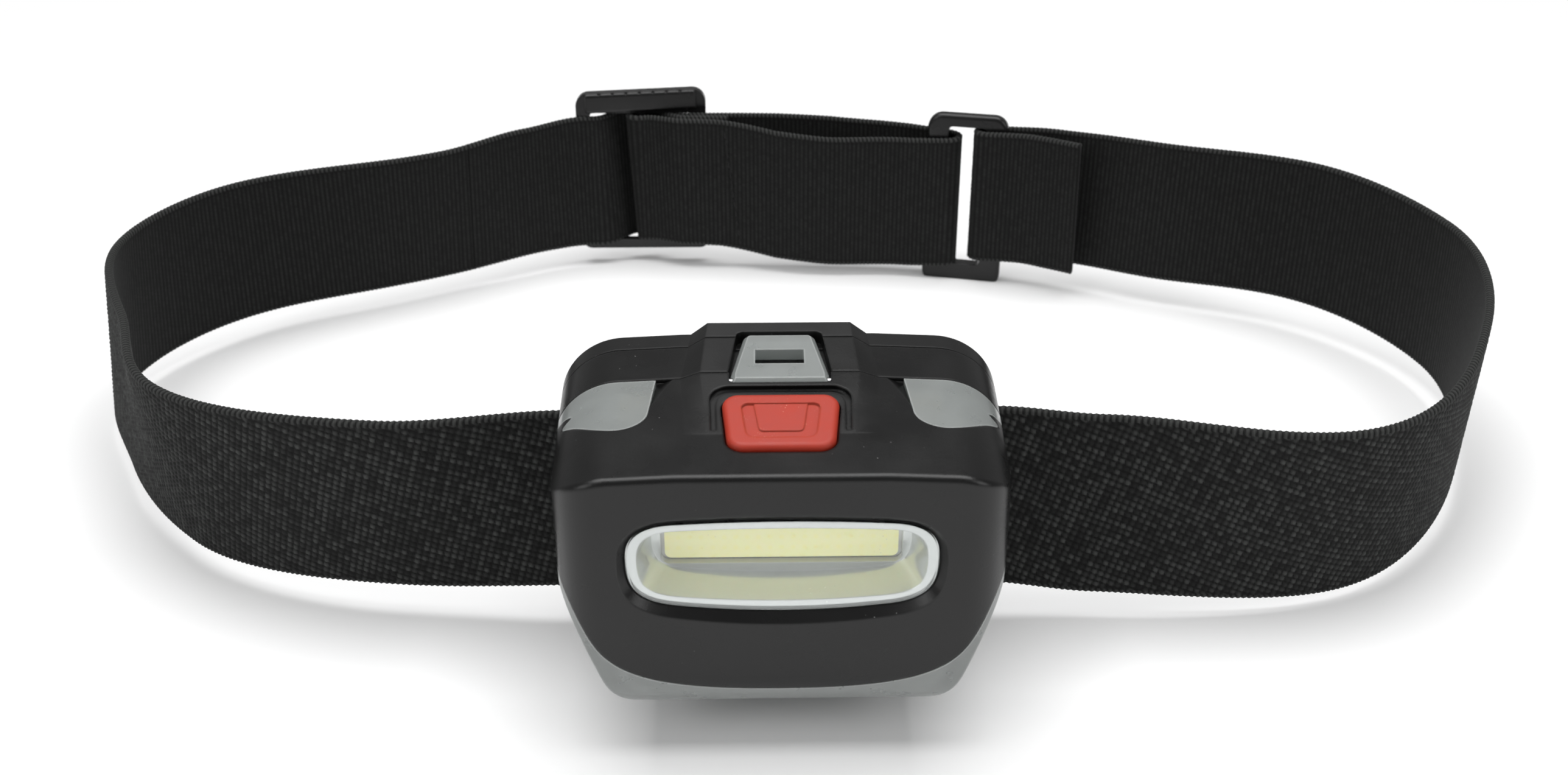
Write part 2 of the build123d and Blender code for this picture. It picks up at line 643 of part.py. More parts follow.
def make_cob_phosphor():
    return solid(front_view(cob_outline(0, 0.9), COB_FACE_Y, COB_FACE_Y + 0.5))


def make_heat_spreader():
    plate_front = COB_FACE_Y + 1.82
    post_y = PCB_FRONT_Y - GAP
    plate = Pos(0, LENS_Z) * Rectangle(38, 2 * COB_BOARD_HALF_HEIGHT + 0.8)
    plate = front_view(plate, plate_front, plate_front + 1.0)
    for side in SIDES:
        plate = plate + rod(1.6, (side * 12, plate_front + 0.9, LENS_Z), (side * 12, post_y, LENS_Z))
    return solid(plate)


def make_pcb():
    board = mirrored_outline([(21.5, 20.5), (26.4, 17.8), (26.4, 6.0), (24.6, 1.5), (19.4, -9.0)],
                             [2, 2, 2, 2, 1])
    pcb = front_view(board, PCB_FRONT_Y, PCB_BACK_Y)
    pcb = pcb - block((-3.7, PCB_FRONT_Y - 1, 13.4), (3.7, PCB_BACK_Y + 1, 40))
    for x, z in BOSS_SPOTS:
        pcb = pcb - rod(SCREW_R + 0.1, (x, PCB_FRONT_Y - 1, z), (x, PCB_BACK_Y + 1, z))
    return solid(pcb)


def make_screws():
    screws = []
    for x, z in BOSS_SPOTS:
        shank = rod(SCREW_R - 0.05, (x, PCB_FRONT_Y - 4.5, z), (x, PCB_BACK_Y + 0.3, z))
        head = rod(1.45, (x, PCB_BACK_Y + 0.03, z), (x, PCB_BACK_Y + 0.95, z))
        recess = rod(0.5, (x, PCB_BACK_Y + 0.5, z), (x, PCB_BACK_Y + 1.5, z))
        screws.append(solid(shank + head - recess))
    return Compound(children=screws)


def make_side_leds():
    leds = []
    for side in SIDES:
        leds.append(Pos(side * 20.5, PCB_FRONT_Y - 0.97, 19.3) * Box(3.5, 1.8, 2.8))
    return Compound(children=[solid(led) for led in leds])


def make_chips():
    """Driver chip and small passives on the back of the board."""
    spots = ((0, -6.4, 5.0, 4.0), (-8, -7.0, 2.0, 1.2), (8, -7.0, 2.0, 1.2), (5.6, -4.4, 1.6, 0.9))
    chips = []
    for x, z, width, height in spots:
        chips.append(solid(Pos(x, PCB_FRONT_Y - 0.55, z) * Box(width, 1.0, height)))
    return Compound(children=chips)


# ---- Power -----------------------------------------------------------------------------------

def make_cell(index):
    z = CELL_SPOTS[index]
    facing = -1 if index == 1 else 1
    tip = facing * (CELL_LENGTH / 2 + 0.55)
    nub = rod(1.9, (facing * (CAN_HALF - 1), CELL_Y, z), (tip, CELL_Y, z))
    return solid(can(0, z) + nub)


def make_contacts():
    plates = []
    for side in SIDES:
        for z in CELL_SPOTS:
            plates.append(solid(contact_plate(side, z, 0)))
    return Compound(children=plates)


def make_springs():
    """Three flat coil springs at the cells' negative ends."""
    springs = []
    for index, z in enumerate(CELL_SPOTS):
        facing = -1 if index == 1 else 1
        start_x = -facing * (CONTACT_X - SPRING_WIRE_R - 0.03)
        length = 0.75
        coil = Helix(pitch=length / 2, height=length, radius=SPRING_R)
        path = Plane(origin=(start_x, CELL_Y, z), z_dir=(facing, 0, 0)).location * coil
        start = path @ 0
        section = Plane(origin=start, z_dir=path % 0) * Circle(SPRING_WIRE_R)
        springs.append(solid(sweep(section, path)))
    return Compound(children=springs)


def make_feed_leaves():
    """Leaf springs that carry power from the housing to the board when the lamp is shut."""
    leaves = []
    for side in SIDES:
        near, far = sorted((side * 25.6, side * 26.0))
        leaves.append(solid(block((near, PCB_BACK_Y + 0.05, 8.0), (far, HOUSING_FRONT_Y - 0.5, 11.0))))
    return Compound(children=leaves)


# ---- Pins ------------------------------------------------------------------------------------

def make_tilt_pin():
    return solid(rod(TILT_PIN_R, (-17.0, TILT_Y, TILT_Z), (17.0, TILT_Y, TILT_Z)))


def make_open_pins():
    pins = []
    for side in SIDES:
        pins.append(solid(rod(OPEN_PIN_R, (side * 11.7, OPEN_Y, OPEN_Z), (side * 16.2, OPEN_Y, OPEN_Z))))
    return Compound(children=pins)


# ---- Strap, adjuster and ring ----------------------------------------------------------------

HALF_STRAP = STRAP_THICKNESS / 2
GLIDE_X = -28.8
GLIDE_Y = 141.0
GLIDE_WIDTH = 29.0
GLIDE_TOP_Z = 20.1
GLIDE_BOTTOM_Z = -17.2
GLIDE_SLOT_HALF = 15.12
GLIDE_DEPTH = 2.0
GRIP_TILT = 2.4
GRIP_HEIGHT = 4.4
RING_X = 43.3
RING_Y = 129.6
RING_ANGLE = -14.0
RING_WIDTH = 17.6
RING_HEIGHT = 40.0
RING_Z = -2.2
RING_DEPTH = 2.8
RING_BAR = 4.6
RING_SLOT_LOW_Z = -16.9
RING_SLOT_TOP_Z = 15.1


def make_glide():
    half = GLIDE_WIDTH / 2
    lift = half * sin(radians(GRIP_TILT))
    frame = outline([(-half, GLIDE_BOTTOM_Z), (half, GLIDE_BOTTOM_Z),
                     (half, GLIDE_TOP_Z + lift), (-half, GLIDE_TOP_Z - lift)], [2, 2, 3, 3])
    window = RectangleRounded(GLIDE_WIDTH - 6.0, 2 * GLIDE_SLOT_HALF, 0.8)
    glide = front_view(frame - window, -GLIDE_DEPTH / 2, GLIDE_DEPTH / 2)
    middle = RectangleRounded(GLIDE_DEPTH, GLIDE_DEPTH, 0.55)
    glide = glide + extrude(middle, GLIDE_SLOT_HALF + 0.5, both=True)
    # thicker grip along the top, with ribs
    grip = Box(GLIDE_WIDTH - 4, 3.6, GRIP_HEIGHT)
    grip = fillet(grip.edges(), 0.7)
    for i in range(7):
        grip = grip - Pos(-9 + 3 * i, 0, GRIP_HEIGHT / 2) * Rot(90, 0, 0) * Cylinder(0.35, 6)
    glide = glide + Pos(0, 0, GLIDE_TOP_Z - GRIP_HEIGHT / 2 - 0.1) * Rot(0, -GRIP_TILT, 0) * grip
    return solid(Pos(GLIDE_X, GLIDE_Y, 0) * glide)


def make_ring():
    frame = RectangleRounded(RING_WIDTH, RING_HEIGHT, 3.2)
    slot = RectangleRounded(RING_WIDTH - 2 * RING_BAR, RING_SLOT_TOP_Z - RING_SLOT_LOW_Z, 1.0)
    frame = frame - Pos(0, (RING_SLOT_TOP_Z + RING_SLOT_LOW_Z) / 2 - RING_Z) * slot
    ring = front_view(frame, -RING_DEPTH / 2, RING_DEPTH / 2)
    outer = [e for e in ring.edges() if abs(e.center().Z) > RING_HEIGHT / 2 - 0.1]
    ring = fillet(outer, 0.9)
    return solid(Pos(RING_X, RING_Y, RING_Z) * Rot(0, 0, RING_ANGLE) * ring)


def shifted(edge, side):
    """Copy of a flat edge moved sideways by half the strap's thickness."""
    def point(u):
        direction = edge % u
        here = edge @ u
        return here + Vector(-direction.Y, direction.X, 0).normalized() * side * HALF_STRAP
    if edge.geom_type == GeomType.LINE:
        return Line(point(0), point(1))
    if edge.geom_type == GeomType.CIRCLE:
        return ThreePointArc(point(0), point(0.5), point(1))
    steps = max(4, int(edge.length / 9))
    inner = [point(i / steps) for i in range(steps + 1)]
    return Spline(*inner, tangents=[edge % 0, edge % 1])


def band(edges):
    """Strap standing on edge along a chain of flat edges in plan."""
    left = [shifted(e, 1) for e in edges]
    right = [shifted(e, -1) for e in edges]
    ends = [Line(left[0] @ 0, right[0] @ 0), Line(left[-1] @ 1, right[-1] @ 1)]
    lines = [part.edges()[0] for part in left + right + ends]
    return extrude(Pos(0, 0, -STRAP_WIDTH / 2) * make_face(lines), STRAP_WIDTH)


def ring_point(x, y):
    """Plan point given in the ring's own axes."""
    turn = radians(RING_ANGLE)
    return (RING_X + x * cos(turn) - y * sin(turn), RING_Y + x * sin(turn) + y * cos(turn))


def ring_dir(x, y):
    turn = radians(RING_ANGLE)
    return (x * cos(turn) - y * sin(turn), x * sin(turn) + y * cos(turn))


LOOP_R = RING_DEPTH / 2 + 0.25 + HALF_STRAP
BAR_OUT = RING_WIDTH / 2
BAR_IN = BAR_OUT - RING_BAR
ADJUSTER_JOIN = (-66.0, 125.0)
JOIN_DIR = (0.84, 0.54)


def make_strap_band():
    """Long run: from the adjuster round the left, behind the lamp, round the right to the ring."""
    left = Spline(ADJUSTER_JOIN, (-84.0, 114.6), (-107.6, 100.9), (-122.2, 71.3), (-110.6, 41.2),
                  (-93.9, 15.2), (-62.0, 1.2), (-34.0, 0.0),
                  tangents=[(-JOIN_DIR[0], -JOIN_DIR[1]), (1, 0)])
    behind = Line((-34.0, 0.0), (34.0, 0.0))
    arrive = ring_point(BAR_OUT + 2.0, LOOP_R)
    right = Spline((34.0, 0.0), (48.5, -0.6), (88.4, 1.0), (116.3, 32.3), (125.7, 72.7), (108.6, 101.4),
                   (80.1, 116.7), arrive, tangents=[(1, 0), ring_dir(-1, 0)])
    turn_x = BAR_IN
    along = Line(arrive, ring_point(turn_x, LOOP_R))
    round_bar = ThreePointArc(ring_point(turn_x, LOOP_R), ring_point(turn_x - LOOP_R, 0),
                              ring_point(turn_x, -LOOP_R))
    back = Line(ring_point(turn_x, -LOOP_R), ring_point(BAR_OUT + 2.0, -LOOP_R))
    tail = Spline(ring_point(BAR_OUT + 2.0, -LOOP_R), ring_point(BAR_OUT + 9.0, -LOOP_R - 1.6),
                  ring_point(BAR_OUT + 16.0, -LOOP_R - 4.6), tangents=[ring_dir(1, 0), ring_dir(1, -0.5)])
    return solid(band([left, behind, right, along, round_bar, back, tail]))


def make_strap_adjuster():
    """Run that threads the tri-glide, turns round the ring and comes back sewn to the middle bar."""
    under = GLIDE_DEPTH / 2 + 0.35 + HALF_STRAP
    layer = STRAP_THICKNESS + 0.45
    gx, gy = GLIDE_X, GLIDE_Y
    far_y = gy - under
    tail_y = far_y - layer
    near_y = tail_y - layer
    over_y = gy + under + layer
    fold_r = under
    enter = (ADJUSTER_JOIN[0] + JOIN_DIR[0] * 0.1, ADJUSTER_JOIN[1] + JOIN_DIR[1] * 0.1)
    to_glide = Spline(enter, (gx - 20.0, far_y - 3.0), (gx - 11.0, far_y), tangents=[JOIN_DIR, (1, 0.0)])
    rise = Spline((gx - 11.0, far_y), (gx - 6.2, gy + 0.9), (gx - 1.5, over_y), tangents=[(1, 0), (1, 0)])
    crest = Line((gx - 1.5, over_y), (gx + 1.5, over_y))
    fall = Spline((gx + 1.5, over_y), (gx + 6.2, gy + 0.9), (gx + 11.0, far_y), tangents=[(1, 0), (1, 0)])
    leave = Line((gx + 11.0, far_y), (gx + 18.0, far_y))
    arrive = ring_point(-BAR_OUT - 3.0, LOOP_R)
    far = Spline((gx + 18.0, far_y), (gx + 36.0, far_y - 1.0), arrive, tangents=[(1, 0), ring_dir(1, 0)])
    along = Line(arrive, ring_point(-BAR_IN, LOOP_R))
    round_bar = ThreePointArc(ring_point(-BAR_IN, LOOP_R), ring_point(-BAR_IN + LOOP_R, 0),
                              ring_point(-BAR_IN, -LOOP_R))
    back = Line(ring_point(-BAR_IN, -LOOP_R), ring_point(-BAR_OUT - 3.0, -LOOP_R))
    near = Spline(ring_point(-BAR_OUT - 3.0, -LOOP_R), (gx + 34.0, near_y - 3.4), (gx + 18.0, near_y),
                  tangents=[ring_dir(-1, 0), (-1, 0)])
    beside = Line((gx + 18.0, near_y), (gx + 11.0, near_y))
    climb = Spline((gx + 11.0, near_y), (gx + 5.5, (near_y + gy - fold_r) / 2), (gx, gy - fold_r),
                   tangents=[(-1, 0), (-1, 0)])
    fold = ThreePointArc((gx, gy - fold_r), (gx - fold_r, gy), (gx, gy + fold_r))
    down = Spline((gx, gy + fold_r), (gx + 5.5, (gy + fold_r + tail_y) / 2), (gx + 11.0, tail_y),
                  tangents=[(1, 0), (1, 0)])
    sewn = Line((gx + 11.0, tail_y), (gx + 20.0, tail_y))
    return solid(band([to_glide, rise, crest, fall, leave, far, along, round_bar, back, near, beside,
                       climb, fold, down, sewn]))


# ---- Build and save --------------------------------------------------------------------------

save(make_cover(), "front_cover")
save(make_light_frame(), "light_frame")
save(make_housing(), "battery_housing")
save(make_gasket(), "compartment_gasket")
save(make_bracket(), "rear_bracket")
save(make_pad(), "forehead_pad")
save(make_latch(), "latch_tongue")
save(make_latch_pin(), "latch_pin")
save(make_button(), "power_button")
save(make_switch(), "switch_body")
save(make_plunger(), "switch_plunger")
save(make_lens(), "lens")
save(make_reflector(), "reflector")
save(make_cob_board(), "cob_board")
save(make_cob_phosphor(), "cob_phosphor")
save(make_heat_spreader(), "heat_spreader")
save(make_pcb(), "circuit_board")
save(make_screws(), "board_screws")
save(make_side_leds(), "side_leds")
save(make_chips(), "board_chips")
for i, place in enumerate(("low", "middle", "top")):
    save(make_cell(i), f"cell_{place}")
save(make_contacts(), "cell_contacts")
save(make_springs(), "cell_springs")
save(make_feed_leaves(), "feed_leaves")
save(make_tilt_pin(), "tilt_pin")
save(make_open_pins(), "cover_hinge_pins")
save(make_glide(), "tri_glide")
save(make_ring(), "ring")
save(make_strap_band(), "strap_band")
save(make_strap_adjuster(), "strap_adjuster")
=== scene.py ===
import json
import math
from collections import defaultdict

import bmesh
import bpy
import numpy as np
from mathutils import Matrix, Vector


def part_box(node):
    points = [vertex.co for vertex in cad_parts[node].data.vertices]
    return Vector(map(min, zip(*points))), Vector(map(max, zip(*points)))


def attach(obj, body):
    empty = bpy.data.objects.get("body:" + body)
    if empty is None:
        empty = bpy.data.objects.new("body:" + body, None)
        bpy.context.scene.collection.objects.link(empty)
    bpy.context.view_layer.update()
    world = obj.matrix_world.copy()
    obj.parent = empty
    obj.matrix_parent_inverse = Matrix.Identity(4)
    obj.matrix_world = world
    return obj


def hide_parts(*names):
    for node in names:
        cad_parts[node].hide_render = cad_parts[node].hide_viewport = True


# Looks of a headlamp on an elastic strap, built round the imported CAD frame.
# The frame is in metres; sizes below are in millimetres and turned into metres with MM.

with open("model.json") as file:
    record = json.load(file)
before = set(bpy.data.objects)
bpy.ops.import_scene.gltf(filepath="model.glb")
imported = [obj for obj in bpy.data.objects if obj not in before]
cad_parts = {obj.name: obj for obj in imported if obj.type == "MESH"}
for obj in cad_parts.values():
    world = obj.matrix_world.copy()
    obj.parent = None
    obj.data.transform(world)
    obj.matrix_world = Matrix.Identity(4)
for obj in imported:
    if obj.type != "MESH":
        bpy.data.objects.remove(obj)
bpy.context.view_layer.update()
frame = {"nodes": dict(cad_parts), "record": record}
nodes = frame["nodes"]

MM = 0.001

# ---- Driving values --------------------------------------------------------------------------

# Webbing
STRAP_WIDTH = 30.0
STRAP_THICKNESS = 1.3
WEAVE_STEP = 0.25
# outer face: knots of yarn in slanting rows
KNOT_PITCH = 1.0
KNOT_SLOPE = 0.36
KNOT_HEIGHT = 0.30
ROW_SHIFT = -0.28
ROW_PITCH = 0.95
# inner face: ribs across the strap
RIB_PITCH = 0.95
RIB_HEIGHT = 0.06
# loops of yarn along both edges, with a sunken channel beside them that is darkened by painted shade
EDGE_LOOP_PITCH = 0.9
EDGE_LOOP_WIDTH = 0.9
EDGE_LOOP_HEIGHT = 0.20
EDGE_LOOP_PROUD = 0.12
EDGE_ROUND = 0.6
CHANNEL_WIDTH = 0.16
# the strap's width wanders by about this much from one stretch to the next
WIDTH_WANDER = 0.12
WANDER_STEPS = 60

# how the strap rises and leans on its way round: (turn from the lamp in degrees, rise, lean in degrees)
LOOP_CENTRE_Y = 70.0
STRAP_FLOW = (
    (-180, 0.3, 0.0), (-162, 0.2, 2.0), (-150, -0.6, 4.0), (-139, -0.8, -2.0), (-126, -1.8, -7.0),
    (-106, -1.2, -5.0), (-90, -2.0, -8.0), (-75, -2.2, -5.0), (-60, -2.4, 5.4), (-40, -1.0, 6.0),
    (-24, 0.0, 0.0), (24, 0.0, 0.0), (34, -1.4, -1.0), (51, -3.4, 5.9), (72, -1.4, 1.1), (91, -0.1, -2.0),
    (106, 1.2, 0.0), (119, 0.4, 2.9), (132, 0.0, 1.5), (144, -0.4, 0.0), (162, -0.2, 0.0), (180, 0.3, 0.0),
)
# how far the run from the ring back to the adjuster hangs low: (distance past the ring, rise)
LOW_RUN = ((-30, 0.0), (-12, -0.8), (0, -1.6), (12, -2.6), (30, -2.9), (42, -2.4), (55, -0.3), (60, 0.0))
# the plan point where the two strap nodes meet
STRAP_JOIN = (-66.0, 125.0)

# Stitches; a row crosses the last part of a strap
STITCH_PITCH = 2.3
STITCH_LENGTH = 1.7
STITCH_R = 0.22
STITCH_SPAN = 13.2
STITCH_RINGS = 7
STITCH_SIDES = 8
LAST_PART = 60.0

# Forehead pad
PAD_CORNER = 6.0
PAD_CELLS_ACROSS = 64
PAD_CELLS_UP = 48
PAD_RIM = 0.2
PAD_THIN = 0.30
PAD_CHANNEL_PLACE = 0.42
PAD_CHANNEL_WIDTH = 0.03
PAD_CHANNEL_DEPTH = 0.35

# how bright the room is in reflections, against 1 for the white backdrop
STUDIO_LEVEL = 0.26
# the paper floor is lit up to the first distance and runs out into plain white by the second, metres
FLOOR_LIT = 0.28
FLOOR_WHITE = 0.50

SEED = 7


# ---- Node graphs -----------------------------------------------------------------------------

class Graph:
    """One material's node tree, with short calls to add and join nodes."""

    def __init__(self, name):
        self.material = bpy.data.materials.new(name)
        self.material.use_nodes = True
        self.tree = self.material.node_tree
        self.shader = self.tree.nodes["Principled BSDF"]
        self.output = self.tree.nodes["Material Output"]

    def feed(self, socket, value):
        if isinstance(value, bpy.types.NodeSocket):
            self.tree.links.new(value, socket)
        elif value is not None:
            socket.default_value = value

    def add(self, kind, inputs=None, out=0, **settings):
        node = self.tree.nodes.new("ShaderNode" + kind)
        for key, value in settings.items():
            setattr(node, key, value)
        for key, value in (inputs or {}).items():
            self.feed(node.inputs[key], value)
        return node.outputs[out]

    def set(self, **values):
        """Principled inputs by name, with underscores for spaces."""
        for key, value in values.items():
            self.feed(self.shader.inputs[key.replace("_", " ")], value)

    def math(self, operation, a, b=None, c=None, clamp=False):
        node = self.tree.nodes.new("ShaderNodeMath")
        node.operation = operation
        node.use_clamp = clamp
        for socket, value in zip(node.inputs, (a, b, c)):
            self.feed(socket, value)
        return node.outputs[0]

    def place(self):
        """Position on the piece in metres, which stays with it in every pose."""
        return self.add("TexCoord", out=3)

    def axis(self, name):
        return self.add("SeparateXYZ", {0: self.place()}, out="XYZ".index(name))

    def noise(self, size_mm, detail=3.0, rough=0.5, vector=None):
        return self.add("TexNoise", {"Vector": vector or self.place(), "Scale": 1000.0 / size_mm,
                                     "Detail": detail, "Roughness": rough})

    def stretched(self, x, y, z):
        """Position with each axis scaled, for grain that runs one way."""
        return self.add("Mapping", {"Vector": self.place(), "Scale": (x, y, z)})

    def cells(self, size_mm, feature="F1", vector=None, randomness=1.0):
        return self.add("TexVoronoi", {"Vector": vector or self.place(), "Scale": 1000.0 / size_mm,
                                       "Randomness": randomness}, feature=feature)

    def ramp(self, value, low, high, start=0.0, end=1.0):
        """value taken from low...high to start...end."""
        return self.add("MapRange", {"Value": value, "From Min": low, "From Max": high,
                                     "To Min": start, "To Max": end})

    def mix(self, amount, a, b):
        node = self.tree.nodes.new("ShaderNodeMix")
        node.data_type = "RGBA"
        self.feed(node.inputs[0], amount)
        self.feed(node.inputs[6], a if isinstance(a, bpy.types.NodeSocket) else (*a, 1.0))
        self.feed(node.inputs[7], b if isinstance(b, bpy.types.NodeSocket) else (*b, 1.0))
        return node.outputs[2]

    def bump(self, height, depth_mm, strength=1.0, normal=None):
        return self.add("Bump", {"Height": height, "Distance": depth_mm * MM, "Strength": strength,
                                 "Normal": normal})

    def soft_edge(self, radius_mm):
        """Normal that rounds sharp edges."""
        return self.add("Bevel", {"Radius": radius_mm * MM}, samples=4)

    def edge_mask(self, radius_mm):
        """1 along sharp edges, 0 on flats."""
        plain = self.add("NewGeometry", out=1)
        turned = self.add("VectorMath", {0: plain, 1: self.soft_edge(radius_mm)}, out=1,
                          operation="DOT_PRODUCT")
        return self.ramp(turned, 0.995, 0.90)

    def specks(self, size_mm, share):
        """Scattered dust: 1 in a few small cells."""
        spot = self.ramp(self.cells(size_mm), share * 1.4, share)
        chosen = self.ramp(self.noise(size_mm * 9.0, 1.0), 0.56, 0.66)
        return self.math("MULTIPLY", spot, chosen)

    def lets_shadow_through(self, tint, share):
        """Joins the shader to the output so that part of the lamps' light passes through the piece."""
        clear = self.add("BsdfTransparent", {"Color": (*tint, 1.0)})
        shadow = self.math("MULTIPLY", self.add("LightPath", out=1), share)
        both = self.add("MixShader", {0: shadow, 1: self.shader.outputs[0], 2: clear})
        self.tree.links.new(both, self.output.inputs[0])


# ---- Materials -------------------------------------------------------------------------------

def moulded_black(name, tone, rough, grain_mm, dust, edge_mm=0.18):
    """Black moulded plastic with fine spark grain, dust and lighter worn edges."""
    g = Graph(name)
    mottle = g.noise(9.0, 2.0)
    worn = g.edge_mask(0.25)
    base = g.mix(mottle, [tone * 0.8] * 3, [tone * 1.2] * 3)
    base = g.mix(g.math("MULTIPLY", worn, 0.35), base, [tone + 0.035] * 3)
    base = g.mix(g.math("MULTIPLY", g.specks(1.3, 0.05), dust), base, [0.35] * 3)
    grain = g.noise(grain_mm, 2.0, 0.6)
    smear = g.noise(14.0, 4.0, 0.6)
    g.set(Base_Color=base, Roughness=g.ramp(smear, 0.3, 0.7, rough - 0.05, rough + 0.08),
          Specular_IOR_Level=0.38, Normal=g.bump(grain, 0.03, 0.4, g.soft_edge(edge_mm)))
    return g.material


def frosted_clear(name, rough, milk, tint, cloud_tone):
    """Smoky clear plastic, frosted on the inside: cloudy in the body, with a painted highlight of pale
    colour along its cut and sharp edges.
    """
    g = Graph(name)
    cloud = g.ramp(g.noise(6.0, 3.0), 0.35, 0.7, milk * 0.8, milk)
    # painted highlight: sharp edges are mixed towards pale grey and let less light through
    edge = g.math("MULTIPLY", g.edge_mask(0.35), 0.7)
    base = g.mix(edge, g.mix(cloud, tint, cloud_tone), (0.80, 0.82, 0.81))
    body = g.math("SUBTRACT", 1.0, g.math("MAXIMUM", cloud, edge))
    g.set(Base_Color=base, Transmission_Weight=body, IOR=1.47,
          Roughness=g.ramp(g.noise(3.0, 3.0), 0.3, 0.7, rough * 0.85, rough * 1.2),
          Coat_Weight=0.5, Coat_Roughness=0.12,
          Normal=g.bump(g.noise(0.5, 2.0), 0.015, 0.2, g.soft_edge(0.3)))
    g.lets_shadow_through(tint, 0.6)
    return g.material


def lens_clear():
    """Polished clear plastic with a few specks of dust."""
    g = Graph("lens_clear")
    dust = g.specks(0.9, 0.05)
    g.set(Base_Color=g.mix(dust, (0.97, 0.98, 0.98), (0.8, 0.8, 0.8)), IOR=1.45,
          Transmission_Weight=g.math("SUBTRACT", 1.0, dust),
          Roughness=g.ramp(g.noise(6.0, 3.0), 0.3, 0.7, 0.02, 0.05), Normal=g.soft_edge(0.15))
    g.lets_shadow_through((0.97, 0.98, 0.98), 0.95)
    return g.material


def reflector_silver():
    """Satin silver-grey bowl with flow marks."""
    g = Graph("reflector_grey")
    flow = g.noise(3.0, 3.0, vector=g.stretched(0.3, 1.0, 1.0))
    base = g.mix(flow, (0.66, 0.68, 0.67), (0.72, 0.74, 0.73))
    g.set(Base_Color=base, Metallic=0.6, Roughness=g.ramp(flow, 0.3, 0.7, 0.17, 0.23),
          Normal=g.bump(g.noise(0.35, 2.0), 0.005, 0.2, g.soft_edge(0.25)))
    return g.material


def button_silicone():
    """Soft orange-red silicone rubber that has caught dust."""
    g = Graph("button_silicone")
    tone = g.noise(2.5, 3.0)
    base = g.mix(tone, (0.335, 0.017, 0.004), (0.405, 0.026, 0.007))
    # lighter towards the sharp edges
    base = g.mix(g.math("MULTIPLY", g.edge_mask(0.6), 0.4), base, (0.52, 0.065, 0.02))
    dust = g.math("MAXIMUM", g.specks(0.55, 0.10), g.math("MULTIPLY", g.specks(0.3, 0.12), 0.7))
    base = g.mix(g.math("MULTIPLY", dust, 0.6), base, (0.80, 0.48, 0.34))
    g.set(Base_Color=base, Roughness=g.ramp(tone, 0.3, 0.7, 0.46, 0.60), Subsurface_Weight=0.18,
          Subsurface_Radius=(1.0, 0.25, 0.12), Subsurface_Scale=0.9 * MM,
          Normal=g.bump(g.noise(0.22, 3.0), 0.025, 0.4, g.soft_edge(0.5)))
    return g.material


def webbing():
    """Elastic webbing: painted shade in the weave's hollows and painted light on its crests follow the
    modelled weave height, each yarn knot has its own random shade, with fibre streaks and a soft sheen.
    """
    g = Graph("webbing")
    lift = g.add("Attribute", out=2, attribute_name="yarn_lift")
    shade = g.add("Attribute", out=2, attribute_name="yarn_shade")
    # painted shade and painted light: the weave's hollows get a near-black colour and its crests a lighter
    # one, driven by the yarn_lift height
    hollow_with_painted_shade = g.mix(shade, (0.001, 0.001, 0.001), (0.003, 0.003, 0.003))
    crest_with_painted_light = g.mix(shade, (0.009, 0.0095, 0.009), (0.050, 0.052, 0.050))
    base = g.mix(g.ramp(lift, 0.15, 0.85), hollow_with_painted_shade, crest_with_painted_light)
    fibre = g.noise(0.30, 4.0, 0.65)
    base = g.mix(g.ramp(fibre, 0.45, 0.75, 0.0, 0.35), base, (0.024, 0.025, 0.024))
    g.set(Base_Color=base, Roughness=g.ramp(fibre, 0.3, 0.7, 0.72, 0.92), Sheen_Weight=0.03,
          Sheen_Roughness=0.45, Specular_IOR_Level=0.2,
          Normal=g.bump(fibre, 0.05, 0.5))
    return g.material


def sewing_thread():
    """Twisted black thread, with painted shade in the grooves of its twist and painted light on its ridges.
    """
    g = Graph("sewing_thread")
    twist = g.add("TexWave", {"Vector": g.stretched(1.0, 1.0, 0.6), "Scale": 900.0, "Distortion": 0.6})
    # painted shade and painted light: the colour follows the same twist wave as the bump, dark in its
    # grooves and lighter on its ridges
    g.set(Base_Color=g.mix(twist, (0.003, 0.003, 0.003), (0.014, 0.014, 0.014)), Roughness=0.6,
          Specular_IOR_Level=0.25, Normal=g.bump(twist, 0.05, 0.6))
    return g.material


def cell_foam():
    """Closed-cell foam with a fine open skin and painted shade in its pores."""
    g = Graph("foam")
    pore = g.cells(0.55)
    # painted shade: each pore is darker at its middle, where the bump sinks it
    base = g.mix(g.ramp(pore, 0.1, 0.6), (0.008, 0.008, 0.008), (0.035, 0.035, 0.036))
    base = g.mix(g.ramp(g.noise(7.0, 2.0), 0.4, 0.7, 0.0, 0.35), base, (0.02, 0.02, 0.021))
    g.set(Base_Color=base, Roughness=0.9, Sheen_Weight=0.12, Normal=g.bump(pore, 0.12, 0.7))
    return g.material


def brushed_metal(name, tone, rough, stretch):
    """Bare metal with drawing lines and slight stains."""
    g = Graph(name)
    lines = g.noise(0.8, 3.0, vector=g.stretched(*stretch))
    stain = g.noise(4.0, 3.0)
    g.set(Base_Color=g.mix(stain, [tone * 0.85] * 3, [tone * 1.08] * 3), Metallic=1.0,
          Roughness=g.ramp(lines, 0.3, 0.7, rough - 0.07, rough + 0.1),
          Normal=g.bump(lines, 0.02, 0.35, g.soft_edge(0.08)))
    return g.material


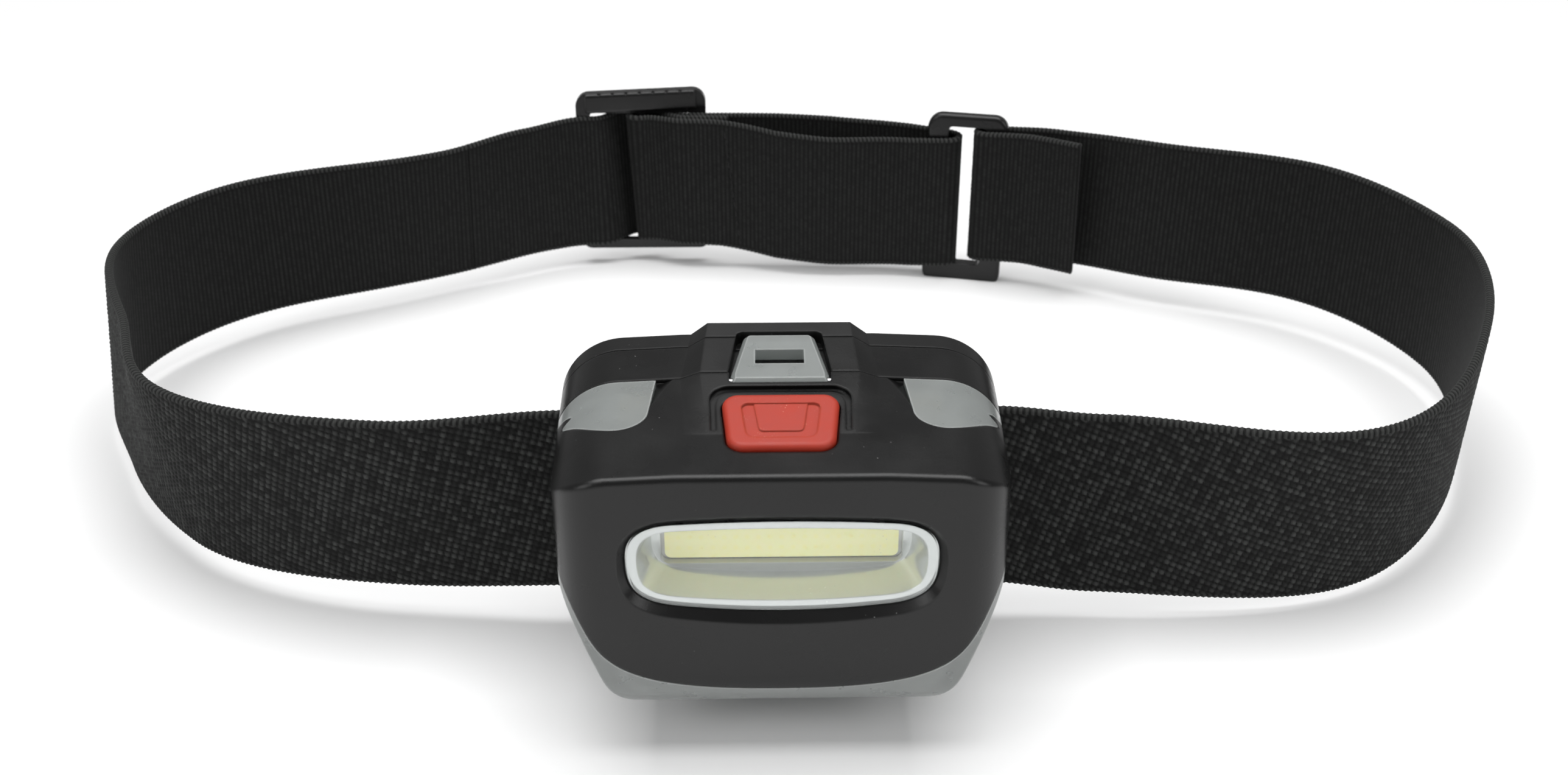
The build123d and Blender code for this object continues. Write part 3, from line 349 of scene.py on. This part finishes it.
def phosphor_gel_with_painted_glow():
    """Pale yellow gel over rows of small dies, with a weak painted glow from emission."""
    g = Graph("phosphor")
    across = g.math("PINGPONG", g.axis("X"), 0.75 * MM)
    up = g.math("PINGPONG", g.axis("Z"), 0.80 * MM)
    near = g.math("SQRT", g.math("ADD", g.math("MULTIPLY", across, across), g.math("MULTIPLY", up, up)))
    die = g.ramp(near, 0.42 * MM, 0.22 * MM)
    cloud = g.noise(1.8, 3.0)
    base = g.mix(cloud, (0.80, 0.79, 0.40), (0.86, 0.86, 0.52))
    base = g.mix(g.math("MULTIPLY", die, 0.30), base, (0.84, 0.72, 0.28))
    # painted glow: the gel's own colour is also given off as a weak emission
    g.set(Base_Color=base, Roughness=g.ramp(cloud, 0.3, 0.7, 0.25, 0.4), Coat_Weight=0.3,
          Subsurface_Weight=0.3, Subsurface_Scale=0.4 * MM, Emission_Color=base, Emission_Strength=0.32,
          Normal=g.bump(cloud, 0.03, 0.3))
    return g.material


def board_mask():
    """Green solder mask over copper tracks."""
    g = Graph("board_green")
    track = g.add("TexBrick", {"Vector": g.place(), "Scale": 260.0, "Mortar Size": 0.035,
                               "Color1": (0, 0, 0, 1), "Color2": (0, 0, 0, 1), "Mortar": (1, 1, 1, 1)})
    grain = g.noise(0.6, 2.0)
    base = g.mix(grain, (0.012, 0.10, 0.035), (0.02, 0.14, 0.05))
    base = g.mix(g.math("MULTIPLY", track, 0.6), base, (0.05, 0.24, 0.10))
    g.set(Base_Color=base, Roughness=g.ramp(grain, 0.3, 0.7, 0.28, 0.42), Coat_Weight=0.2,
          Normal=g.bump(track, 0.04, 0.5, g.soft_edge(0.1)))
    return g.material


def cell_sleeve():
    """Printed sleeve with plain bands, and bare metal at the ends."""
    g = Graph("cell_wrap")
    along = g.math("ABSOLUTE", g.axis("X"))
    end = g.ramp(along, 21.3 * MM, 21.5 * MM)
    stripe = g.ramp(along, 13.0 * MM, 13.1 * MM)
    sheen = g.noise(3.0, 2.0)
    base = g.mix(sheen, (0.020, 0.045, 0.065), (0.028, 0.058, 0.080))
    base = g.mix(stripe, base, (0.45, 0.30, 0.10))
    base = g.mix(end, base, (0.62, 0.62, 0.60))
    g.set(Base_Color=base, Metallic=g.ramp(end, 0.0, 1.0, 0.25, 0.95),
          Roughness=g.ramp(sheen, 0.3, 0.7, 0.24, 0.36),
          Normal=g.bump(g.noise(0.5, 2.0), 0.01, 0.3, g.soft_edge(0.15)))
    return g.material


def soft_rubber():
    """Matt rubber seal with a powdery bloom."""
    g = Graph("gasket_rubber")
    bloom = g.noise(1.6, 4.0)
    g.set(Base_Color=g.mix(bloom, (0.010, 0.010, 0.010), (0.035, 0.035, 0.034)),
          Roughness=g.ramp(bloom, 0.3, 0.7, 0.6, 0.8), Normal=g.bump(g.noise(0.3, 2.0), 0.02, 0.4))
    return g.material


def moulded_light(name, low, high):
    """Small pale moulded part such as an LED body."""
    g = Graph(name)
    tone = g.noise(1.2, 3.0)
    g.set(Base_Color=g.mix(tone, low, high), Roughness=g.ramp(tone, 0.3, 0.7, 0.3, 0.45),
          Normal=g.bump(g.noise(0.25, 2.0), 0.01, 0.4, g.soft_edge(0.1)))
    return g.material


MATERIALS = {
    "black_shell": moulded_black("black_shell", 0.004, 0.27, 0.30, 0.5, 0.45),
    "black_base": moulded_black("black_base", 0.006, 0.32, 0.30, 0.4, 0.3),
    "buckle_plastic": moulded_black("buckle_plastic", 0.007, 0.24, 0.40, 0.4, 0.3),
    "chip_black": moulded_black("chip_black", 0.012, 0.45, 0.12, 0.2),
    "clear_plastic": frosted_clear("clear_plastic", 0.30, 0.50, (0.55, 0.58, 0.57), (0.17, 0.182, 0.175)),
    "lens_clear": lens_clear(),
    "reflector_grey": reflector_silver(),
    "button_silicone": button_silicone(),
    "webbing": webbing(),
    "foam": cell_foam(),
    "steel": brushed_metal("steel", 0.58, 0.28, (0.15, 1.0, 1.0)),
    "aluminium_plate": brushed_metal("aluminium_plate", 0.72, 0.35, (1.0, 1.0, 0.1)),
    "phosphor": phosphor_gel_with_painted_glow(),
    "board_green": board_mask(),
    "led_white": moulded_light("led_white", (0.72, 0.70, 0.42), (0.82, 0.80, 0.50)),
    "cell_wrap": cell_sleeve(),
    "gasket_rubber": soft_rubber(),
}


def dress_cad_nodes():
    """Gives each CAD node the worked-out material of its record slot."""
    for part in frame["record"]["subparts"]:
        mesh = nodes[part["node"]].data
        finish = MATERIALS[part["material_slot"]]
        if not mesh.materials:
            mesh.materials.append(finish)
        for i in range(len(mesh.materials)):
            mesh.materials[i] = finish


# ---- Mesh helpers ----------------------------------------------------------------------------

def new_piece(name, verts, faces, slot, body):
    """Mesh object from vertices in millimetres, riding on a body."""
    mesh = bpy.data.meshes.new(name)
    mesh.from_pydata([(x * MM, y * MM, z * MM) for x, y, z in verts], [], faces)
    mesh.update()
    piece = bpy.data.objects.new(name, mesh)
    bpy.context.scene.collection.objects.link(piece)
    mesh.materials.append(MATERIALS[slot])
    mesh.shade_smooth()
    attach(piece, body)
    return piece


def tube_faces(rings, sides):
    """Quads of a tube of rings with sides points each, closed at both ends."""
    ring = np.arange(rings - 1)[:, None] * sides
    side = np.arange(sides)[None, :]
    ahead = (side + 1) % sides
    quads = np.stack([ring + side, ring + ahead, ring + sides + ahead, ring + sides + side], axis=-1)
    return quads.reshape(-1, 4)


# ---- Strap path, read from the CAD node ------------------------------------------------------

def lower_rim(node):
    """Plan points round the lower face of a strap node, in order, in millimetres."""
    bm = bmesh.new()
    bm.from_mesh(nodes[node].data)
    bmesh.ops.remove_doubles(bm, verts=bm.verts, dist=1e-6)
    low = min(v.co.z for v in bm.verts)
    joined = defaultdict(list)
    for edge in bm.edges:
        flat = sum(abs(face.normal.z) > 0.9 for face in edge.link_faces)
        if flat == 1 and all(v.co.z < low + 1e-5 for v in edge.verts):
            a, b = edge.verts
            joined[a].append(b)
            joined[b].append(a)
    start = next(iter(joined))
    walk, before, here = [start], None, start
    while True:
        after = [v for v in joined[here] if v is not before][0]
        if after is start:
            break
        walk.append(after)
        before, here = here, after
    points = np.array([(v.co.x / MM, v.co.y / MM) for v in walk])
    bm.free()
    return points


def long_side(rim, start_near):
    """One long side of the rim, from the end cap nearest to start_near to the other cap."""
    step = np.roll(rim, -1, axis=0) - rim
    heading = np.arctan2(step[:, 1], step[:, 0])
    turn = np.abs((heading - np.roll(heading, 1) + np.pi) % (2 * np.pi) - np.pi)
    corners = np.sort(np.argsort(turn)[-4:])
    spans = []
    for i, first in enumerate(corners):
        last = corners[(i + 1) % 4]
        count = (last - first) % len(rim)
        spans.append(rim[(first + np.arange(count + 1)) % len(rim)])
    side = max(spans, key=len)
    if np.linalg.norm(side[0] - start_near) > np.linalg.norm(side[-1] - start_near):
        side = side[::-1]
    return side


def split_long(points, limit):
    """Adds points along stretches longer than limit, which are straight."""
    out = [points[0]]
    for a, b in zip(points[:-1], points[1:]):
        parts = max(1, int(np.ceil(np.linalg.norm(b - a) / limit)))
        out.extend(a + (b - a) * k / parts for k in range(1, parts + 1))
    return np.array(out)


def smooth_through(points, step):
    """Points every step along a smooth curve through the given ones."""
    length = np.concatenate([[0], np.cumsum(np.linalg.norm(np.diff(points, axis=0), axis=1))])
    slope = np.diff(points, axis=0) / np.diff(length)[:, None]
    before, after = np.diff(length)[:-1, None], np.diff(length)[1:, None]
    inner = (slope[:-1] * after + slope[1:] * before) / (before + after)
    tangent = np.vstack([slope[:1], inner, slope[-1:]])
    at = np.arange(0, length[-1], step)
    k = np.clip(np.searchsorted(length, at, side="right") - 1, 0, len(points) - 2)
    width = (length[k + 1] - length[k])[:, None]
    t = (at - length[k])[:, None] / width
    a = 2 * t ** 3 - 3 * t ** 2 + 1
    b = t ** 3 - 2 * t ** 2 + t
    c = -2 * t ** 3 + 3 * t ** 2
    d = t ** 3 - t ** 2
    return a * points[k] + b * width * tangent[k] + c * points[k + 1] + d * width * tangent[k + 1]


def left_of(points):
    """Unit vectors to the left of a plan curve."""
    along = np.gradient(points, axis=0)
    along = along / np.linalg.norm(along, axis=1)[:, None]
    return np.stack([-along[:, 1], along[:, 0]], axis=1)


def centre_line(node, start_near):
    """Evenly spaced plan points along the middle of a strap node."""
    rim = lower_rim(node)
    side = smooth_through(split_long(long_side(rim, start_near), 12.0), 0.1)
    left = left_of(side)
    # one thickness away from the side lies either the rim again or open air
    probe = len(side) // 3
    strap_on_left = nearest_on(rim, side[probe] + left[probe] * STRAP_THICKNESS) < 0.12
    inward = left if strap_on_left else -left
    line = side + inward * STRAP_THICKNESS / 2
    return smooth_through(line[::4], WEAVE_STEP)


def nearest_on(rim, point):
    """Distance from a point to the closed polygon rim."""
    ahead = np.roll(rim, -1, axis=0) - rim
    t = np.clip(((point - rim) * ahead).sum(axis=1) / (ahead ** 2).sum(axis=1), 0, 1)
    return np.linalg.norm(rim + ahead * t[:, None] - point, axis=1).min()


def flow_at(line):
    """Rise in millimetres and lean in radians of the strap at each plan point."""
    turn = np.degrees(np.arctan2(line[:, 0], LOOP_CENTRE_Y - line[:, 1]))
    flow = np.array(STRAP_FLOW, float)
    k = np.clip(np.searchsorted(flow[:, 0], turn, side="right") - 1, 0, len(flow) - 2)
    t = (turn - flow[k, 0]) / (flow[k + 1, 0] - flow[k, 0])
    ease = (t * t * (3 - 2 * t))[:, None]
    value = flow[k, 1:] * (1 - ease) + flow[k + 1, 1:] * ease
    return value[:, 0], np.radians(value[:, 1])


# ---- Weave -----------------------------------------------------------------------------------

def cushion(u, v):
    """Rounded bump over a unit cell, with u and v from -0.5 to 0.5."""
    return (1 - np.abs(2 * u) ** 2.0) * (1 - np.abs(2 * v) ** 2.4)


def knot_weave(s, u, rng_table):
    """Outer face: rows of yarn knots that climb along the strap.  Gives lift and shade from 0 to 1."""
    det = KNOT_PITCH * ROW_PITCH - KNOT_SLOPE * ROW_SHIFT
    a = (s * ROW_PITCH - u * ROW_SHIFT) / det
    b = (-s * KNOT_SLOPE + u * KNOT_PITCH) / det
    i, j = np.round(a), np.round(b)
    chance = rng_table[(i.astype(int) * 37 + j.astype(int) * 101) % len(rng_table)]
    lift = cushion(a - i, b - j) * (0.75 + 0.25 * chance)
    return lift, chance


def rib_weave(s, u, rng_table):
    """Inner face: fine ribs across the strap, broken by shallow cross threads."""
    i = np.round(s / RIB_PITCH)
    j = np.round(u / ROW_PITCH)
    chance = rng_table[(i.astype(int) * 53 + j.astype(int) * 17) % len(rng_table)]
    rib = 0.5 + 0.5 * np.cos(2 * np.pi * s / RIB_PITCH)
    thread = 0.5 + 0.5 * np.cos(2 * np.pi * u / ROW_PITCH + np.pi * i)
    return rib * (0.7 + 0.3 * thread), chance * 0.2


def edge_loops(s, lean):
    """Slanted loops of yarn along the edge."""
    return 0.5 + 0.5 * np.cos(2 * np.pi * (s + lean) / EDGE_LOOP_PITCH)


def strap_section():
    """Cross-section of the webbing, as (across, through) with the outer face first; through is -1 to 1."""
    flat = STRAP_WIDTH / 2 - EDGE_ROUND
    face = np.linspace(-flat, flat, 102)
    back = np.linspace(flat, -flat, 76)
    bend = np.radians(np.linspace(90, -90, 8)[1:-1])
    top = [(flat + EDGE_ROUND * math.cos(q), math.sin(q)) for q in bend]
    low = [(-flat - EDGE_ROUND * math.cos(q), -math.sin(q)) for q in bend]
    rows = [(u, 1.0) for u in face] + top + [(u, -1.0) for u in back] + low
    return np.array(rows)


def sag_after_turn(line, steps):
    """Extra rise along a strap, given as (distance past its rightmost point, rise) in millimetres."""
    at = (np.arange(len(line)) - np.argmax(line[:, 0])) * WEAVE_STEP
    return np.interp(at, [d for d, _ in steps], [h for _, h in steps])


def weave_fields(s, u, through, outer_side, ribbed_from, table):
    """Yarn lift and shade from 0 to 1, weave height and edge loops at each point of the webbing."""
    outer_lift, outer_shade = knot_weave(s * outer_side, u, table)
    inner_lift, inner_shade = rib_weave(s, u, table)
    body_half = STRAP_WIDTH / 2 - EDGE_LOOP_WIDTH
    edge = np.clip((np.abs(u) - body_half) / 0.25, 0, 1)
    loops = edge_loops(s, 0.25 * np.sign(u) * through)
    knotted_here = np.clip((ribbed_from - s) / 2.0, 0, 1)
    outer = np.clip(through * 0.5 + 0.5, 0, 1) * knotted_here
    lift = (outer_lift * outer + inner_lift * (1 - outer)) * (1 - edge) + loops * edge
    shade = (outer_shade * outer + inner_shade * (1 - outer)) * (1 - edge) + 0.75 * edge
    height = (KNOT_HEIGHT * outer + RIB_HEIGHT * (1 - outer)) * (1 - edge) + EDGE_LOOP_HEIGHT * edge
    # the channel lowers the lift: the webbing sinks there and its colour takes painted shade
    channel = np.exp(-((np.abs(u) - (body_half - 0.15)) / CHANNEL_WIDTH) ** 2)
    return lift * (1 - 0.7 * channel), shade, height, loops


def swept_mesh(name, verts, rings, sides, flip):
    """Closed tube mesh from an array of vertices in metres, with a cap at each end."""
    quads = tube_faces(rings, sides)
    first_cap = np.arange(sides)
    last_cap = first_cap + (rings - 1) * sides
    if flip:
        quads = quads[:, ::-1]
        last_cap = last_cap[::-1]
    else:
        first_cap = first_cap[::-1]
    count = len(quads)
    mesh = bpy.data.meshes.new(name)
    mesh.vertices.add(len(verts))
    mesh.vertices.foreach_set("co", verts.astype(np.float32).ravel())
    mesh.loops.add(count * 4 + 2 * sides)
    mesh.polygons.add(count + 2)
    corners = np.concatenate([quads.ravel(), first_cap, last_cap])
    starts = np.concatenate([np.arange(count) * 4, [count * 4, count * 4 + sides]])
    mesh.loops.foreach_set("vertex_index", corners.astype(np.int32))
    mesh.polygons.foreach_set("loop_start", starts.astype(np.int32))
    mesh.update(calc_edges=True)
    mesh.validate()
    return mesh


def woven_strap(name, node, start_near, outer_side, body, shift=0.0, sag=(), ribbed_end=0.0):
    """Webbing with its weave as geometry, swept along the middle of a CAD strap node."""
    line = centre_line(node, np.array(start_near))
    count = len(line)
    rng = np.random.default_rng(SEED)
    table = rng.random(4096)
    out = left_of(line) * outer_side
    rise, lean = flow_at(line)
    if sag:
        rise = rise + sag_after_turn(line, sag)

    # s runs along the strap, u across it and through from its inner to its outer face
    section = strap_section()
    s = (np.arange(count) * WEAVE_STEP + shift)[:, None] * np.ones((1, len(section)))
    u = np.ones((count, 1)) * section[None, :, 0]
    through = np.ones((count, 1)) * section[None, :, 1]
    ribbed_from = (count - 1) * WEAVE_STEP - ribbed_end + shift
    lift, shade, height, loops = weave_fields(s, u, through, outer_side, ribbed_from, table)

    flat = np.abs(through) > 0.999
    raised = np.where(flat, np.sign(through), through) * height * lift
    w = through * (STRAP_THICKNESS / 2 - 0.5 * height) + raised
    stretches = np.arange(0, count + WANDER_STEPS, WANDER_STEPS)
    widths = rng.normal(0, WIDTH_WANDER, count // WANDER_STEPS + 2)[:len(stretches)]
    wander = np.interp(np.arange(count), stretches, widths)
    across = u * (1 + wander[:, None] / STRAP_WIDTH)
    across = across + np.where(np.abs(through) < 0.95, np.sign(u) * EDGE_LOOP_PROUD * loops, 0)

    cos_lean, sin_lean = np.cos(lean)[:, None], np.sin(lean)[:, None]
    outward = across * sin_lean + w * cos_lean
    x = line[:, 0:1] + out[:, 0:1] * outward
    y = line[:, 1:2] + out[:, 1:2] * outward
    z = rise[:, None] + across * cos_lean - w * sin_lean
    verts = np.stack([x, y, z], axis=-1).reshape(-1, 3) * MM
    mesh = swept_mesh(name, verts, count, len(section), flip=outer_side < 0)
    # yarn_lift also colours the webbing: painted shade in its hollows and painted light on its crests
    for key, value in (("yarn_lift", lift), ("yarn_shade", shade)):
        attribute = mesh.attributes.new(key, "FLOAT", "POINT")
        attribute.data.foreach_set("value", value.astype(np.float32).ravel())
    mesh.shade_smooth()
    mesh.materials.append(MATERIALS["webbing"])
    piece = bpy.data.objects.new(name, mesh)
    bpy.context.scene.collection.objects.link(piece)
    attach(piece, body)
    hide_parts(node)
    return {"line": line, "out": out, "rise": rise, "lean": lean}


def stitch_row(name, strap, x_mm, slant):
    """Row of stitches across a strap's last part where it passes x_mm, leaning by slant over its width."""
    line = strap["line"]
    last_part = np.abs(line[::-1, 0] - x_mm)[:int(LAST_PART / WEAVE_STEP)]
    k = len(line) - 1 - int(np.argmin(last_part))
    out = strap["out"][k]
    along = np.array([out[1], -out[0]])
    along = along * np.sign(along[0])
    lean = strap["lean"][k]
    verts, faces = [], []
    for u in np.arange(-STITCH_SPAN, STITCH_SPAN + 0.1, STITCH_PITCH):
        base = len(verts)
        for t in np.linspace(-1, 1, STITCH_RINGS):
            up = u + t * STITCH_LENGTH / 2
            radius = STITCH_R * math.sqrt(max(0.04, 1 - t ** 4))
            lift = STRAP_THICKNESS / 2 + 0.06 - 0.12 * t * t
            centre = line[k] + along * slant * (-up / STRAP_WIDTH)
            for q in range(STITCH_SIDES):
                turn = 2 * math.pi * q / STITCH_SIDES
                w = lift + radius * math.sin(turn)
                side = radius * math.cos(turn)
                outward = up * math.sin(lean) + w * math.cos(lean)
                plan = centre + along * side + out * outward
                height = strap["rise"][k] + up * math.cos(lean) - w * math.sin(lean)
                verts.append((plan[0], plan[1], height))
        for quad in tube_faces(STITCH_RINGS, STITCH_SIDES):
            faces.append(tuple(int(i) + base for i in quad))
        last_ring = base + (STITCH_RINGS - 1) * STITCH_SIDES
        faces.append(tuple(base + q for q in range(STITCH_SIDES))[::-1])
        faces.append(tuple(last_ring + q for q in range(STITCH_SIDES)))
    piece = new_piece(name, verts, faces, "webbing", "base")
    piece.data.materials[0] = sewing_thread()


# ---- Forehead pad ----------------------------------------------------------------------------

def pad_layer(low, high, front):
    """Points over one face of the pad in rows: the crowned front, or the back that lies on the bracket."""
    centre, half = (low + high)[[0, 2]] / 2, (high - low)[[0, 2]] / 2
    inner = half - PAD_CORNER
    points = []
    for j in range(PAD_CELLS_UP + 1):
        for i in range(PAD_CELLS_ACROSS + 1):
            share = np.array([2 * i / PAD_CELLS_ACROSS - 1, 2 * j / PAD_CELLS_UP - 1])
            core = np.clip(share * half, -inner, inner)
            offset = share * half - core
            length = np.linalg.norm(offset)
            if length > 1e-9:
                offset = offset * np.abs(offset).max() / length
            x, z = centre + core + offset
            rim = min(1.0, (1 - np.abs(share).max()) / PAD_RIM)
            puff = math.sqrt(1 - (1 - rim) ** 2)
            groove = math.exp(-((abs(share[0]) - PAD_CHANNEL_PLACE) / PAD_CHANNEL_WIDTH) ** 2)
            rise = (high[1] - low[1]) * (PAD_THIN + (1 - PAD_THIN) * puff)
            depth = rise - PAD_CHANNEL_DEPTH * groove * rim * puff
            points.append((x, low[1] + (depth if front else 0.0), z))
    return points


def make_pad():
    """Crowned foam pad with rounded corners, moulded channels and a flat back on the bracket."""
    low, high = (np.array(corner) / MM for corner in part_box("forehead_pad"))
    verts = pad_layer(low, high, front=False) + pad_layer(low, high, front=True)
    across, up = PAD_CELLS_ACROSS, PAD_CELLS_UP
    row = across + 1
    layer = row * (up + 1)
    faces = []
    for j in range(up):
        for i in range(across):
            a = j * row + i
            faces.append((a, a + 1, a + row + 1, a + row))
            faces.append((layer + a + row, layer + a + row + 1, layer + a + 1, layer + a))
    border = [i for i in range(across)] + [across + j * row for j in range(up)]
    border += [up * row + across - i for i in range(across)] + [(up - j) * row for j in range(up)]
    for a, b in zip(border, border[1:] + border[:1]):
        faces.append((b, a, layer + a, layer + b))
    piece = new_piece("forehead_pad_foam", verts, faces, "foam", "base")
    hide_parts("forehead_pad")


# ---- Stage -----------------------------------------------------------------------------------

def make_floor():
    low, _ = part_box("rear_bracket")
    size = 4.0
    mesh = bpy.data.meshes.new("floor")
    corners = [(-size, -size, 0), (size, -size, 0), (size, size, 0), (-size, size, 0)]
    mesh.from_pydata(corners, [], [(0, 1, 2, 3)])
    floor = bpy.data.objects.new("floor", mesh)
    floor.location.z = low.z - 0.2 * MM
    bpy.context.scene.collection.objects.link(floor)
    g = Graph("floor_paper")
    g.set(Base_Color=g.mix(g.noise(40.0, 2.0), (0.93, 0.93, 0.93), (0.95, 0.95, 0.95)), Roughness=0.9,
          Specular_IOR_Level=0.1)
    away = g.add("VectorMath", {0: g.place()}, out=1, operation="LENGTH")
    seen_far = g.math("MULTIPLY", g.ramp(away, FLOOR_LIT, FLOOR_WHITE), g.add("LightPath"))
    white = g.add("Emission", {"Color": (1.0, 1.0, 1.0, 1.0), "Strength": 1.0})
    both = g.add("MixShader", {0: seen_far, 1: g.shader.outputs[0], 2: white})
    g.tree.links.new(both, g.output.inputs[0])
    mesh.materials.append(g.material)


def add_softbox(name, place, aim, size, power):
    data = bpy.data.lights.new(name, "AREA")
    data.shape = "RECTANGLE"
    data.size, data.size_y = size
    data.energy = power
    lamp = bpy.data.objects.new(name, data)
    lamp.location = place
    lamp.rotation_euler = (Vector(aim) - Vector(place)).to_track_quat("-Z", "Y").to_euler()
    bpy.context.scene.collection.objects.link(lamp)


def make_lights():
    world = bpy.data.worlds.new("studio")
    world.use_nodes = True
    tree = world.node_tree
    seen = tree.nodes.new("ShaderNodeLightPath")
    level = tree.nodes.new("ShaderNodeMapRange")
    level.inputs["To Min"].default_value = STUDIO_LEVEL
    level.inputs["To Max"].default_value = 1.0
    tree.links.new(seen.outputs["Is Camera Ray"], level.inputs["Value"])
    tree.nodes["Background"].inputs[0].default_value = (1.0, 1.0, 1.0, 1.0)
    tree.links.new(level.outputs[0], tree.nodes["Background"].inputs[1])
    bpy.context.scene.world = world
    add_softbox("overhead", (0.0, 0.10, 0.85), (0, 0.05, 0), (0.9, 0.7), 9.0)
    add_softbox("left_front", (-0.75, -0.55, 0.55), (0, 0.02, 0), (0.5, 0.6), 2.6)
    add_softbox("right_front", (0.75, -0.50, 0.50), (0, 0.02, 0), (0.5, 0.6), 2.0)


def make_camera():
    data = bpy.data.cameras.new("camera")
    data.lens = 35.59
    data.sensor_width = 36.0
    data.clip_start = 0.01
    place = Vector((-2.67, -195.98, 120.1)) * MM
    sight = Vector((0.0155, 0.8876, -0.4605))
    camera = bpy.data.objects.new("camera", data)
    camera.location = place
    camera.rotation_euler = sight.to_track_quat("-Z", "Y").to_euler()
    data.dof.use_dof = True
    data.dof.focus_object = nodes["lens"]
    data.dof.aperture_fstop = 40.0
    bpy.context.scene.collection.objects.link(camera)
    bpy.context.scene.camera = camera
    bpy.context.scene.view_settings.view_transform = "Standard"


# ---- Build -----------------------------------------------------------------------------------

dress_cad_nodes()
long_run = woven_strap("strap_band_woven", "strap_band", STRAP_JOIN, -1, "base", ribbed_end=24.0)
short_run = woven_strap("strap_adjuster_woven", "strap_adjuster", STRAP_JOIN, 1, "base", shift=0.4,
                        sag=LOW_RUN, ribbed_end=110.0)
stitch_row("stitches_low_run", short_run, -8.5, 3.6)
stitch_row("stitches_tail", long_run, 59.0, 5.0)
make_pad()
make_floor()
make_lights()
make_camera()
